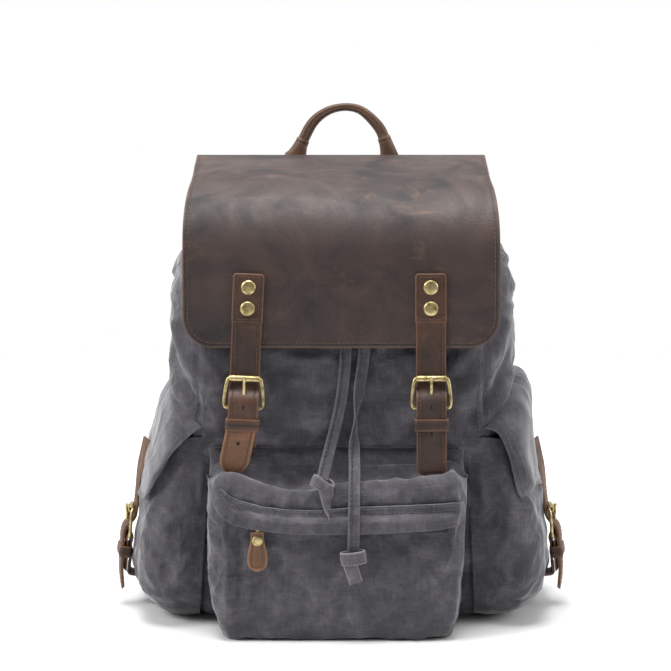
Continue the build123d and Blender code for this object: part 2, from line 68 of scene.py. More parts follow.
def add(tree, kind, inputs=None, stops=None, **settings):
    """One node with its settings; an input is a value or another node's output."""
    node = tree.nodes.new("ShaderNode" + kind)
    for key, value in settings.items():
        setattr(node, key, value)
    for key, value in (inputs or {}).items():
        if isinstance(value, bpy.types.NodeSocket):
            tree.links.new(value, node.inputs[key])
        else:
            node.inputs[key].default_value = value
    for spot, (position, shade) in enumerate(stops or []):
        element = node.color_ramp.elements[spot] if spot < 2 else node.color_ramp.elements.new(position)
        element.position = position
        element.color = linear(shade) if isinstance(shade, str) else [shade] * 3 + [1.0]
    return node


def blank_material(name):
    material = bpy.data.materials.new(name)
    material.use_nodes = True
    material.node_tree.nodes.clear()
    return material, material.node_tree


def mixed(tree, share, a, b):
    """Colour a turned towards colour b by share."""
    return add(tree, "Mix", {0: share, 6: a, 7: b}, data_type="RGBA").outputs[2]


def surface(tree, colour, normal, **values):
    """The shader, with the values that are the same all over set on it."""
    inputs = {"Base Color": colour, "Normal": normal}
    inputs.update({key.replace("_", " "): value for key, value in values.items()})
    shader = add(tree, "BsdfPrincipled", inputs)
    add(tree, "OutputMaterial", {"Surface": shader.outputs[0]})


# ---------------------------------------------------------------- finishes
def waxed_canvas(name, base, light, dark, crease=1.0):
    """Waxed cotton duck: plain-woven thick yarn with a dry wax finish. It gives the eye slubby threads, paler
    lines along folds, partly cracked wax and partly painted highlight on the creases, and cloudy darker patches."""
    material, tree = blank_material(name)
    place = add(tree, "TexCoord")
    yarn = []
    # Yarns lie 0.6 mm apart, too fine to show: the slubs are drawn 1.3 mm wide and 14 mm long instead.
    for stretch in ((720.0, 70.0, 1.0), (70.0, 720.0, 1.0)):
        spread = add(tree, "Mapping", {"Vector": place.outputs["UV"], "Scale": stretch})
        yarn.append(add(tree, "TexNoise", {"Vector": spread.outputs[0], "Scale": 1.0, "Detail": 2.0}).outputs["Fac"])
    slub = add(tree, "Math", {0: yarn[0], 1: yarn[1]}, operation="ADD").outputs[0]
    cloud = add(tree, "TexNoise", {"Vector": place.outputs["Object"], "Scale": 34.0, "Detail": 8.0,
                                   "Roughness": 0.70, "Distortion": 0.4}).outputs["Fac"]
    # Pale lines run straight along old folds, 20 to 60 mm apart, bent a few millimetres by a noise: partly cracks
    # in the wax, partly painted highlight on the creases.
    warp = add(tree, "TexNoise", {"Vector": place.outputs["Object"], "Scale": 30.0, "Detail": 2.0})
    bent = add(tree, "VectorMath", {0: warp.outputs["Color"], 1: (0.016, 0.016, 0.016), 2: place.outputs["Object"]},
               operation="MULTIPLY_ADD").outputs[0]
    lines, facets = [], []
    for scale, width in ((19.0, 0.045), (43.0, 0.06)):
        cell = add(tree, "TexVoronoi", {"Vector": bent, "Scale": scale}, feature="DISTANCE_TO_EDGE")
        lines.append(add(tree, "MapRange", {"Value": cell.outputs["Distance"], "From Max": width, "To Min": 1.0,
                                            "To Max": 0.0}, interpolation_type="SMOOTHSTEP").outputs[0])
        facets.append(add(tree, "MapRange", {"Value": cell.outputs["Distance"], "From Max": 0.34,
                                             "To Min": 1.0, "To Max": 0.0}).outputs[0])
    patch = add(tree, "TexNoise", {"Vector": place.outputs["Object"], "Scale": 13.0, "Detail": 4.0}).outputs["Fac"]
    patch = add(tree, "MapRange", {"Value": patch, "From Min": 0.44, "From Max": 0.64}).outputs[0]
    cracks_and_highlights = add(tree, "Math", {0: lines[0], 1: lines[1]}, operation="MAXIMUM").outputs[0]
    cracks_and_highlights = add(tree, "Math", {0: cracks_and_highlights, 1: patch}, operation="MULTIPLY").outputs[0]
    cracks_and_highlights = add(tree, "Math", {0: cracks_and_highlights, 1: 0.17 * crease}, operation="MULTIPLY").outputs[0]
    relief = add(tree, "Math", {0: facets[0], 1: 1.6, 2: facets[1]}, operation="MULTIPLY_ADD").outputs[0]
    relief = add(tree, "Math", {0: relief, 1: patch}, operation="MULTIPLY").outputs[0]
    clouded = add(tree, "ValToRGB", {"Fac": cloud}, stops=[(0.24, dark), (0.82, light), (0.5, base)]).outputs[0]
    # The pale crease lines are cracked wax plus a painted highlight.
    marked = mixed(tree, cracks_and_highlights, clouded, linear(light))
    # Cloth over a seam or hem is rubbed paler.
    hem = add(tree, "Attribute", attribute_name="edge").outputs["Fac"]
    rubbed = add(tree, "MapRange", {"Value": hem, "From Min": 0.0, "From Max": 0.0016, "To Min": 0.55,
                                    "To Max": 0.0}).outputs[0]
    marked = mixed(tree, rubbed, marked, linear(light))
    grain = add(tree, "MapRange", {"Value": slub, "From Min": 0.7, "From Max": 1.3, "To Min": 0.80,
                                   "To Max": 1.18}).outputs[0]
    woven = add(tree, "VectorMath", {0: marked, 1: grain}, operation="MULTIPLY").outputs[0]
    height = add(tree, "Math", {0: slub, 1: cloud}, operation="ADD").outputs[0]
    fine = add(tree, "Bump", {"Height": height, "Strength": 0.30, "Distance": 0.0012})
    wax = add(tree, "Bump", {"Height": relief, "Strength": 0.50 * crease, "Distance": 0.0022,
                             "Normal": fine.outputs[0]})
    surface(tree, woven, wax.outputs[0], Roughness=0.80, Sheen_Weight=0.42, Sheen_Roughness=0.40,
            Specular_IOR_Level=0.28)
    return material


def oiled_hide(name, deep, warm, scuff, rough=0.52, worn=1.0, edged=True):
    """Oiled pull-up leather: waxed hide that pales where it is bent or scratched. It gives the eye cloudy brown
    patches, fine grain, short tan scratches and a soft sheen, and it is paler at the top of the lid, partly from
    wear and partly as a painted sheen."""
    material, tree = blank_material(name)
    place = add(tree, "TexCoord")
    cloud = add(tree, "TexNoise", {"Vector": place.outputs["Object"], "Scale": 17.0, "Detail": 6.0,
                                   "Roughness": 0.6, "Distortion": 0.9}).outputs["Fac"]
    hide = add(tree, "ValToRGB", {"Fac": cloud}, stops=[(0.36, deep), (0.70, warm)]).outputs[0]
    # Scratches a millimetre wide and a few centimetres long, in two directions.
    marks = []
    for turn, stretch in ((0.5, (9.0, 160.0, 60.0)), (-0.9, (14.0, 210.0, 90.0))):
        spread = add(tree, "Mapping", {"Vector": place.outputs["Object"], "Rotation": (0.0, turn, 0.0),
                                       "Scale": stretch})
        line = add(tree, "TexNoise", {"Vector": spread.outputs[0], "Scale": 1.0, "Detail": 3.0,
                                      "Distortion": 0.4}).outputs["Fac"]
        marks.append(add(tree, "MapRange", {"Value": line, "From Min": 0.69, "From Max": 0.84}).outputs[0])
    marks = add(tree, "Math", {0: marks[0], 1: marks[1]}, operation="MAXIMUM").outputs[0]
    blot = add(tree, "TexNoise", {"Vector": place.outputs["Object"], "Scale": 38.0, "Detail": 4.0,
                                  "Roughness": 0.7}).outputs["Fac"]
    blot = add(tree, "MapRange", {"Value": blot, "From Min": 0.58, "From Max": 0.92}).outputs[0]
    wear_and_painted_sheen = add(tree, "Math", {0: marks, 1: blot}, operation="MAXIMUM").outputs[0]
    # The hide is paler towards the top of the lid: partly wear from handling, partly a painted sheen where the
    # top catches the light.
    high = add(tree, "SeparateXYZ", {0: place.outputs["Object"]}).outputs["Z"]
    high = add(tree, "MapRange", {"Value": high, "From Min": 0.30, "From Max": 0.385, "To Min": 0.42,
                                  "To Max": 0.70}).outputs[0]
    wear_and_painted_sheen = add(tree, "Math", {0: wear_and_painted_sheen, 1: high}, operation="MULTIPLY").outputs[0]
    wear_and_painted_sheen = add(tree, "Math", {0: wear_and_painted_sheen, 1: worn}, operation="MULTIPLY").outputs[0]
    # Wear and the painted sheen at the top turn the hide towards the pale scuff colour.
    scuffs_and_painted_sheen = mixed(tree, wear_and_painted_sheen, hide, linear(scuff))
    # Grain pebbles are about 0.9 mm across.
    pebble = add(tree, "TexVoronoi", {"Vector": place.outputs["Object"], "Scale": 1100.0}).outputs["Distance"]
    pores = add(tree, "TexNoise", {"Vector": place.outputs["Object"], "Scale": 420.0, "Detail": 3.0}).outputs["Fac"]
    height = add(tree, "Math", {0: pebble, 1: pores}, operation="MULTIPLY").outputs[0]
    shaded = scuffs_and_painted_sheen
    if edged:
        # The cut edge is paler, and a groove runs beside it under the stitching.
        edge = add(tree, "Attribute", attribute_name="edge").outputs["Fac"]
        cut = add(tree, "MapRange", {"Value": edge, "From Min": 0.0002, "From Max": 0.0016, "To Min": 0.5,
                                     "To Max": 0.0}).outputs[0]
        shaded = mixed(tree, cut, shaded, linear(scuff))
        off = add(tree, "Math", {0: edge, 1: 0.0036}, operation="SUBTRACT").outputs[0]
        off = add(tree, "Math", {0: off}, operation="ABSOLUTE").outputs[0]
        groove = add(tree, "MapRange", {"Value": off, "From Max": 0.0011, "To Min": 1.0, "To Max": 0.0},
                     interpolation_type="SMOOTHSTEP").outputs[0]
        shaded = mixed(tree, groove, shaded, linear(deep))
        height = add(tree, "Math", {0: height, 1: groove}, operation="SUBTRACT").outputs[0]
    bump = add(tree, "Bump", {"Height": height, "Strength": 0.45, "Distance": 0.0006})
    sheen = add(tree, "MapRange", {"Value": cloud, "From Min": 0.3, "From Max": 0.7, "To Min": rough + 0.16,
                                   "To Max": rough - 0.06}).outputs[0]
    surface(tree, shaded, bump.outputs[0], Roughness=sheen, Specular_IOR_Level=0.5)
    return material


def antique_brass():
    """Cast zinc with an antiqued brass plate: dull yellow metal, darker in its hollows, with worn bright spots."""
    material, tree = blank_material("antiqued_brass")
    place = add(tree, "TexCoord")
    tarnish = add(tree, "TexNoise", {"Vector": place.outputs["Object"], "Scale": 240.0, "Detail": 4.0}).outputs["Fac"]
    colour = add(tree, "ValToRGB", {"Fac": tarnish}, stops=[(0.32, "#86764c"), (0.62, "#cfbd8c")]).outputs[0]
    rough = add(tree, "MapRange", {"Value": tarnish, "From Min": 0.3, "From Max": 0.7, "To Min": 0.52,
                                   "To Max": 0.34}).outputs[0]
    bump = add(tree, "Bump", {"Height": tarnish, "Strength": 0.12, "Distance": 0.0003})
    surface(tree, colour, bump.outputs[0], Metallic=1.0, Roughness=rough)
    return material


def woven_band(name, base, light, pitch):
    """Woven webbing or tape: ribs of thread across a narrow band."""
    material, tree = blank_material(name)
    place = add(tree, "TexCoord")
    rib = add(tree, "TexWave", {"Vector": place.outputs["UV"], "Scale": 0.314 / pitch, "Distortion": 0.6},
              bands_direction="Y").outputs["Fac"]
    speck = add(tree, "TexNoise", {"Vector": place.outputs["Object"], "Scale": 420.0, "Detail": 3.0}).outputs["Fac"]
    mix = add(tree, "Math", {0: rib, 1: speck}, operation="MULTIPLY").outputs[0]
    colour = add(tree, "ValToRGB", {"Fac": mix}, stops=[(0.08, base), (0.62, light)]).outputs[0]
    edge = add(tree, "Attribute", attribute_name="edge").outputs["Fac"]
    hem = add(tree, "MapRange", {"Value": edge, "From Min": 0.0, "From Max": 0.0013, "To Min": 0.6,
                                 "To Max": 0.0}).outputs[0]
    colour = mixed(tree, hem, colour, linear(light))
    bump = add(tree, "Bump", {"Height": mix, "Strength": 0.5, "Distance": 0.0006})
    surface(tree, colour, bump.outputs[0], Roughness=0.85, Sheen_Weight=0.2, Sheen_Roughness=0.5,
            Specular_IOR_Level=0.25)
    return material


def dyed_thread(name, shade, pale):
    """Bonded sewing thread, twisted: faintly glossy ridges."""
    material, tree = blank_material(name)
    place = add(tree, "TexCoord")
    twist = add(tree, "TexNoise", {"Vector": place.outputs["Object"], "Scale": 900.0, "Detail": 2.0}).outputs["Fac"]
    colour = add(tree, "ValToRGB", {"Fac": twist}, stops=[(0.3, shade), (0.7, pale)]).outputs[0]
    bump = add(tree, "Bump", {"Height": twist, "Strength": 0.3, "Distance": 0.0002})
    surface(tree, colour, bump.outputs[0], Roughness=0.6)
    return material


def dark_hole():
    """The shadowed inside of a punched hole."""
    material, tree = blank_material("painted_hole_shade")
    place = add(tree, "TexCoord")
    soft = add(tree, "TexNoise", {"Vector": place.outputs["Object"], "Scale": 700.0}).outputs["Fac"]
    colour = add(tree, "ValToRGB", {"Fac": soft}, stops=[(0.3, "#0c0807"), (0.8, "#1c120e")]).outputs[0]
    bump = add(tree, "Bump", {"Height": soft, "Strength": 0.2, "Distance": 0.0002})
    surface(tree, colour, bump.outputs[0], Roughness=0.9)
    return material


CANVAS = waxed_canvas("grey_waxed_canvas", "#454348", "#69676d", "#302f33")
PLAIN = waxed_canvas("plain_lining", "#2b2a2f", "#3b3a40", "#202024", crease=0.2)
PAD_CLOTH = waxed_canvas("padded_back_canvas", "#403f44", "#5b5a60", "#302f33", crease=0.4)
LID_HIDE = oiled_hide("oiled_lid_leather", "#1f1717", "#42302b", "#7a5842", rough=0.56)
STRAP_HIDE = oiled_hide("oiled_strap_leather", "#271710", "#4f3224", "#7d5337", rough=0.52)
PALE_HIDE = oiled_hide("bent_strap_leather", "#503423", "#80583c", "#a67c56", rough=0.54)
SIDE_HIDE = oiled_hide("rubbed_strap_leather", "#3a261b", "#67472f", "#957152", rough=0.54)
INNER_HIDE = oiled_hide("oiled_leather_tab", "#2e1c15", "#54372a", "#83593c", edged=False)
CUT_EDGE = oiled_hide("raw_leather_edge", "#3d281c", "#5f402c", "#7d5a3e", rough=0.7, worn=0.4)
BRASS = antique_brass()
TAPE = waxed_canvas("folded_canvas_tape", "#444247", "#69676d", "#302f34", crease=0.3)
KNOT_TAPE = waxed_canvas("rubbed_tape_end", "#58555a", "#86838a", "#403e43", crease=0.3)
WEBBING = woven_band("woven_webbing", "#2f2f33", "#55545a", 0.0016)
ZIP_CLOTH = woven_band("zip_tape_cloth", "#242428", "#3c3b41", 0.0008)
GREY_THREAD = dyed_thread("grey_thread", "#4a494e", "#77757b")
BROWN_THREAD = dyed_thread("brown_thread", "#4a2f20", "#8a6040")
DARK_THREAD = dyed_thread("dark_thread", "#232226", "#3a393e")
HOLE_SHADE = dark_hole()


# ---------------------------------------------------------------- shapes
def smooth(x):
    x = min(max(x, 0.0), 1.0)
    return x * x * (3 - 2 * x)


def marks_along(points):
    """The distance of each point along a line of them."""
    marks = [0.0]
    for a, b in zip(points, points[1:]):
        marks.append(marks[-1] + (b - a).length)
    return marks


def corner_inset(radius, rest):
    """How far a round corner draws a side in, at a distance from the end of the piece."""
    return radius - sqrt(max(radius ** 2 - (radius - min(rest, radius)) ** 2, 0.0))


def turning_point(before, low, high, steps=14):
    """Where before(share) stops being true, between low and high."""
    for _ in range(steps):
        middle = (low + high) / 2
        if before(middle):
            low = middle
        else:
            high = middle
    return (low + high) / 2


def front_of(way):
    """The direction square to a line that runs down the front of something."""
    return Vector((0, way.z, -way.y))


def joined(bm, dist=0.05):
    bmesh.ops.remove_doubles(bm, verts=bm.verts, dist=dist)


def capped(bm):
    """Closes the open ends of every band and bar."""
    bmesh.ops.holes_fill(bm, edges=[e for e in bm.edges if e.is_boundary], sides=80)


class Run:
    """A smooth line through a few points, read by the share of its length."""

    def __init__(self, *points, closed=False):
        points = [Vector(p) for p in points]
        count = len(points)
        self.line = []
        for i in range(count if closed else count - 1):
            if closed:
                a, b, c, d = (points[(i + k) % count] for k in (-1, 0, 1, 2))
            else:
                a, b, c, d = (points[min(max(i + k, 0), count - 1)] for k in (-1, 0, 1, 2))
            for step in range(12):
                t = step / 12
                self.line.append(0.5 * (2 * b + (c - a) * t + (2 * a - 5 * b + 4 * c - d) * t * t
                                        + (3 * b - a - 3 * c + d) * t ** 3))
        self.line.append(points[0] if closed else points[-1])
        self.marks = marks_along(self.line)
        self.length = self.marks[-1]

    def at(self, share):
        """The point there and the direction of the line."""
        reach = min(max(share, 0.0), 1.0) * self.length
        low, high = 0, len(self.marks) - 1
        while high - low > 1:
            middle = (low + high) // 2
            low, high = (middle, high) if self.marks[middle] <= reach else (low, middle)
        a, b = self.line[low], self.line[low + 1]
        step = self.marks[low + 1] - self.marks[low]
        return a.lerp(b, (reach - self.marks[low]) / step if step else 0.0), (b - a).normalized()


def walk(start, heading, runs, share):
    """A point on a line of straights and arcs, and the direction to its left. A run is (length, radius), with
    radius 0 for a straight; a positive radius turns left."""
    x, y = start
    rest = share * sum(length for length, _ in runs)
    for length, radius in runs:
        step = min(rest, length)
        if radius == 0:
            x, y = x + step * cos(heading), y + step * sin(heading)
        else:
            turned = heading + step / radius
            x += radius * (sin(turned) - sin(heading))
            y -= radius * (cos(turned) - cos(heading))
            heading = turned
        rest -= step
        if rest <= 0:
            break
    return x, y, (-sin(heading), cos(heading))


def oblong(wide, deep, radius):
    """Runs once round an oblong with round corners, clockwise from the middle of a wide side."""
    arc = (radius * pi / 2, -radius)
    return [(wide / 2, 0), arc, (deep, 0), arc, (wide, 0), arc, (deep, 0), arc, (wide / 2, 0)]


def three_sides(deep, wide, radius):
    """Runs down one side, across the front and up the other side, round its two corners."""
    arc = (radius * pi / 2, radius)
    return [(deep, 0), arc, (wide, 0), arc, (deep, 0)]


def new_mesh():
    bm = bmesh.new()
    bm.loops.layers.uv.new("cloth")
    bm.verts.layers.float.new("edge")
    return bm


def sheet(bm, across, along, size, place, edge=None):
    """A flat grid of cloth, leather or metal that place(u, v) bends to its shape. Its UVs are in metres, and
    the edge value of each vertex is its distance from the cut edge, in metres."""
    uv, rim = bm.loops.layers.uv.active, bm.verts.layers.float["edge"]
    grid = bmesh.ops.create_grid(bm, x_segments=across, y_segments=along, size=0.5, calc_uvs=True)["verts"]
    for face in {face for vert in grid for face in vert.link_faces}:
        face.smooth = True
        for loop in face.loops:
            loop[uv].uv = (loop[uv].uv.x * size[0] / 1000, loop[uv].uv.y * size[1] / 1000)
    for vert in grid:
        u, v = vert.co.x + 0.5, vert.co.y + 0.5
        vert[rim] = (edge(u, v) if edge else 40.0) / 1000
        vert.co = place(u, v)


def finish(name, bm, body, materials, thick=0.0, side=0.0, round_edge=0.0, inner=0, rim=0, levels=0, weld=0.05,
           replaces=(), outward=False):
    """Turns a bmesh in millimetres into a finished piece that moves with a body."""
    if weld:
        joined(bm, weld)
    if outward:
        bmesh.ops.recalc_face_normals(bm, faces=bm.faces)
    bmesh.ops.scale(bm, verts=bm.verts, vec=(0.001, 0.001, 0.001))
    mesh = bpy.data.meshes.new(name)
    bm.to_mesh(mesh)
    bm.free()
    for material in materials:
        mesh.materials.append(material)
    piece = bpy.data.objects.new(name, mesh)
    bpy.context.scene.collection.objects.link(piece)
    if thick:
        wall = piece.modifiers.new("wall", "SOLIDIFY")
        wall.thickness, wall.offset = thick / 1000, side
        wall.material_offset, wall.material_offset_rim = inner, rim
    if round_edge:
        softened = piece.modifiers.new("softened edge", "BEVEL")
        softened.width, softened.segments, softened.limit_method = round_edge / 1000, 2, "ANGLE"
        softened.angle_limit = radians(50)
    if levels:
        fine = piece.modifiers.new("smooth", "SUBSURF")
        fine.levels = fine.render_levels = levels
    if body:
        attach(piece, body)
    if replaces:
        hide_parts(*replaces)
    return piece


FOLD_DEPTH = 1.25   # the share of its listed height that a fold gets


def folded(point, out, folds):
    """The point, lifted or sunk along out by each fold: (one end, other end, width, height)."""
    lift = 0.0
    for a, b, width, height in folds:
        near, share = intersect_point_line(point, Vector(a), Vector(b))
        share = min(max(share, 0.0), 1.0)
        near = Vector(a).lerp(Vector(b), share)
        away = (point - near).length / width
        if away < 3:
            lift += FOLD_DEPTH * height * exp(-away * away) * (0.35 + 0.65 * sin(pi * (0.08 + 0.84 * share)))
    return point + out * lift


def crumple(point, out, size, height, seed=0.0, upright=1.0):
    """Moves a point along out by crumpled cloth: soft hollows between narrower crests."""
    q = Vector((point.x / size + seed, point.y / size - seed, point.z / size * upright + seed * 1.7))
    bend = noise.noise_vector(q * 0.8) * 0.55
    crest = 0.42 - 1.5 * abs(noise.noise(q + bend))
    return point + out * height * (0.75 * crest + 0.5 * noise.noise(q * 0.6 + bend))


def stitch_row(bm, points, out, length=3.0, gap=1.1, thick=0.65, slot=0):
    """Single stitches along a line of points, each a slim spindle lying on the surface."""
    marks = marks_along(points)
    count = max(1, int(marks[-1] / (length + gap)))
    pitch = marks[-1] / count
    spot = 0
    for number in range(count):
        ends = []
        for reach in (number * pitch + gap / 2, (number + 1) * pitch - gap / 2):
            while spot < len(marks) - 2 and marks[spot + 1] < reach:
                spot += 1
            step = marks[spot + 1] - marks[spot]
            ends.append(points[spot].lerp(points[spot + 1], (reach - marks[spot]) / step if step else 0))
        a, b = ends
        lift = out(a.lerp(b, 0.5)) if callable(out) else out
        spindle = bmesh.ops.create_cone(bm, cap_ends=True, segments=5, radius1=thick * 0.30, radius2=thick * 0.30,
                                        depth=(b - a).length)["verts"]
        middle = a.lerp(b, 0.5) + lift * thick * 0.25
        turn = (b - a).to_track_quat("Z", "Y").to_matrix().to_4x4()
        bmesh.ops.transform(bm, matrix=Matrix.Translation(middle) @ turn, verts=spindle)
        for vert in spindle:
            for face in vert.link_faces:
                face.smooth = True
                face.material_index = slot


def nearest_facing(points, facing):
    """A function that gives the direction listed for the nearest of some points."""
    keyed = list(zip(points, facing))
    return lambda p: min(keyed, key=lambda pair: (pair[0] - p).length_squared)[1]


def sewn(bm, place, line, lift):
    """A row of stitches along a line in the u, v of a surface that looks backwards, standing on that face."""
    points, facing = [], []
    for i in range(81):
        u, v = line(i / 80)
        # Directions are taken across a hundredth of the surface, from one step back at its last part.
        base = u - 0.01 if u > 0.98 else u
        a, b, c = place(base, v), place(base + 0.01 if base < u else min(u + 0.01, 1), v), place(base, min(v + 0.01, 1))
        up = (b - a).cross(c - a).normalized()
        up = up if up.y > 0 else -up
        facing.append(up)
        points.append(place(u, v) + up * lift)
    stitch_row(bm, points, nearest_facing(points, facing))


# Pieces of the same stuff are finished alike.
def canvas(name, bm, body, thick, replaces, side=-1.0, round_edge=0.0):
    """Canvas with its plain inner face."""
    return finish(name, bm, body, [CANVAS, PLAIN], thick=thick, side=side, round_edge=round_edge, inner=1,
                  replaces=replaces)


def leather(name, bm, body, hides, thick, side=0.0, round_edge=0.5, replaces=()):
    """Cut leather, with the raw hide showing on its edge."""
    return finish(name, bm, body, hides, thick=thick, side=side, round_edge=round_edge, rim=1, replaces=replaces)


def thread(name, bm, body, colour=None):
    return finish(name, bm, body, [colour or BROWN_THREAD], weld=0)


def brass(name, bm, body, replaces, weld=0):
    return finish(name, bm, body, [BRASS], weld=weld, outward=True, replaces=replaces)


# ---------------------------------------------------------------- camera and drawstring
def camera_and_light():
    """A long lens three metres off. The room is a white tent, open and darker on the camera's side."""
    data = bpy.data.cameras.new("camera")
    data.lens, data.sensor_width = 172.8, 36.0
    camera = bpy.data.objects.new("camera", data)
    camera.location = (-0.005, -2.9 * cos(radians(11)), 0.248 + 2.9 * sin(radians(11)))
    camera.rotation_euler = (radians(79), 0, 0)
    bpy.context.scene.collection.objects.link(camera)
    bpy.context.scene.camera = camera
    for name, spot, aim, wide, power in (
            ("left box", (-2.0, -0.75, 1.5), (0, 0, 0.2), 0.9, 44.0),
            ("right box", (2.2, -0.3, 1.1), (0, 0, 0.2), 1.2, 26.0),
            ("top box", (-0.1, -0.1, 2.3), (0, 0, 0.2), 1.1, 62.0)):
        lamp = bpy.data.lights.new(name, "AREA")
        lamp.shape, lamp.size, lamp.energy = "SQUARE", wide, power
        light = bpy.data.objects.new(name, lamp)
        light.location = spot
        light.rotation_euler = (Vector(aim) - Vector(spot)).to_track_quat("-Z", "Y").to_euler()
        bpy.context.scene.collection.objects.link(light)
    world = bpy.data.worlds.new("white_tent")
    world.use_nodes = True
    tree = world.node_tree
    tree.nodes.clear()
    way = add(tree, "SeparateXYZ", {0: add(tree, "TexCoord").outputs["Generated"]})
    tent = add(tree, "MapRange", {"Value": way.outputs["Y"], "From Min": -0.9, "From Max": 0.15, "To Min": 0.15,
                                  "To Max": 0.92}, interpolation_type="SMOOTHSTEP").outputs[0]
    seen = add(tree, "LightPath").outputs["Is Camera Ray"]
    glow = add(tree, "Math", {0: tent, 1: seen}, operation="MAXIMUM").outputs[0]
    room = add(tree, "Background", {"Color": (1.0, 1.0, 1.0, 1.0), "Strength": glow})
    add(tree, "OutputWorld", {"Surface": room.outputs[0]})
    bpy.context.scene.world = world
    bpy.context.scene.view_settings.view_transform = "Standard"
    material, tree = blank_material("white_paper_sweep")
    place = add(tree, "TexCoord")
    fibre = add(tree, "TexNoise", {"Vector": place.outputs["Object"], "Scale": 90.0}).outputs["Fac"]
    white = add(tree, "ValToRGB", {"Fac": fibre}, stops=[(0.0, "#dcdcdc"), (1.0, "#e2e2e2")]).outputs[0]
    bump = add(tree, "Bump", {"Height": fibre, "Strength": 0.02, "Distance": 0.0002})
    surface(tree, white, bump.outputs[0], Roughness=0.9)
    bm = bmesh.new()
    bmesh.ops.create_circle(bm, cap_ends=True, segments=96, radius=1.2)
    mesh = bpy.data.meshes.new("floor")
    bm.to_mesh(mesh)
    bm.free()
    mesh.materials.append(material)
    floor = bpy.data.objects.new("floor", mesh)
    bpy.context.scene.collection.objects.link(floor)


# Each tape leaves its eyelet under the lid, hangs down the front and ends in a knot.
TAPE_ROUTES = {
    "left": [
        (-11.0, -55.4, 364.5), (-9.5, -68.0, 361.5), (-6.0, -80.0, 345.0), (-1.0, -85.0, 318.0),
        (3.5, -86.5, 283.0), (4.2, -89.6, 246.0), (0.2, -93.0, 206.0), (-8.5, -97.5, 172.0),
        (-14.0, -111.0, 153.0), (-16.5, -124.5, 145.5),
    ],
    "right": [
        (11.0, -55.4, 364.5), (12.5, -68.0, 361.5), (16.0, -80.0, 345.0), (20.0, -85.0, 318.0),
        (22.0, -86.5, 283.0), (20.0, -89.6, 246.0), (14.0, -93.0, 207.0), (11.0, -98.0, 176.0),
        (11.8, -112.0, 152.0), (11.2, -130.0, 137.0), (11.0, -139.5, 112.0), (10.4, -140.3, 83.0),
    ],
}
TAPE_W = 10.0


def route_line(name, points):
    """Points close together along the smooth line that the route's points pull."""
    curve = bpy.data.curves.new(name, "CURVE")
    curve.dimensions = "3D"
    spline = curve.splines.new("NURBS")
    spline.points.add(len(points) - 1)
    for spot, point in zip(spline.points, points):
        spot.co = (*(c / 1000 for c in point), 1.0)
    spline.order_u = 3
    spline.use_endpoint_u = True
    spline.resolution_u = 16
    guide = bpy.data.objects.new(name, curve)
    line = [v.co * 1000 for v in bpy.data.meshes.new_from_object(guide).vertices]
    bpy.data.objects.remove(guide)
    return line


def band(bm, line, facing, width, thick):
    """A flat band along a line of points; facing(share) is the direction its face looks."""
    count = len(line) - 1

    def place(u, v):
        spot = min(int(v * count), count - 1)
        a, b = line[spot], line[spot + 1]
        point = a.lerp(b, v * count - spot)
        run = (line[min(spot + 2, count)] - line[max(spot - 1, 0)]).normalized()
        look = facing(v)
        look = (look - run * look.dot(run)).normalized()
        side = run.cross(look)
        turn = tau * u
        # A flat oblong section: wide sides and round edges.
        x = max(-1.0, min(1.0, 1.25 * cos(turn)))
        y = sin(turn)
        return point + side * x * width / 2 + look * y * thick / 2 * (1 if abs(x) < 0.98 else 0.6)

    def rim(u, v):
        return width / 2 * (1 - min(1.0, abs(1.25 * cos(tau * u))))
    sheet(bm, 24, count, (width * 2, marks_along(line)[-1]), place, rim)


def drawstrings():
    for name, points in TAPE_ROUTES.items():
        line = route_line(f"tape_route_{name}", points)
        length = marks_along(line)[-1]
        left = name == "left"

        def facing(share):
            # The right tape is turned half over where it bends to the pocket.
            twist = radians(12 * sin(7 * share)) if left else radians(78) * exp(-((share - 0.60) / 0.07) ** 2)
            return Vector((sin(twist), -cos(twist), 0.10))
        bm = new_mesh()
        band(bm, line, facing, TAPE_W, 1.5)
        capped(bm)
        points, faces = [], []
        for i, point in enumerate(line[:-1]):
            run = (line[i + 1] - point).normalized()
            look = facing(i / (len(line) - 1))
            look = (look - run * look.dot(run)).normalized()
            points.append(point + run.cross(look) * 2.2 + look * 0.85)
            faces.append(look)
        stitch_row(bm, points, nearest_facing(points, faces), thick=1.5, slot=1)
        tape = finish(f"drawstring_tape_{name}", bm, "bag", [TAPE, DARK_THREAD], replaces=[f"drawstring_{name}"])
        knot = tape_knot(name, line)


def tape_knot(name, line):
    """The tape's own end, knotted: a turn of tape across the front with the short tail coming out below it."""
    end = line[-1]
    tilt = radians(-24 if name == "left" else 7)
    half_w, deep, drop = (9.5, 5.6, 5.0) if name == "left" else (10.5, 5.4, 4.0)
    ring = []
    for i in range(49):
        turn = tau * i / 48
        x, y = half_w * cos(turn), deep * sin(turn) - 0.5
        slant = 1.4 * sin(2 * turn) if name == "left" else 0
        ring.append(end + Vector((x * cos(tilt), y, x * sin(tilt) - drop + slant)))
    centre = end + Vector((0, 0, -drop))
    bm = new_mesh()
    band(bm, ring, lambda s: (ring[int(s * 48)] - centre).normalized(), 10.5 if name == "left" else 11.5, 1.8)
    if name == "left":
        # The tail spreads out of the knot and twists to a narrow end.
        tail = [(2.5, -4.2, -4), (4.0, -5.0, -13), (5.5, -4.5, -23), (8.0, -4.0, -33), (9.5, -3.0, -41)]
        turned = [Run(*[end + Vector(p) for p in tail]).at(i / 28)[0] for i in range(29)]
        band(bm, turned, lambda s: Vector((sin(1.5 * s), -cos(1.5 * s), 0.1)), 12.5, 1.6)
    else:
        tail = [(-3.5, -2.4, -8), (-1.0, -3.4, -15), (2.5, -3.2, -26)]
        turned = [Run(*[end + Vector(p) for p in tail]).at(i / 20)[0] for i in range(21)]
        band(bm, turned, lambda s: Vector((0.2, -1, 0.1)), 12.0, 1.8)
    capped(bm)
    knot = finish(f"drawstring_knot_{name}", bm, "bag", [KNOT_TAPE])
    if name == "right":
        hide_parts("drawstring_knots")
    return knot


camera_and_light()
drawstrings()


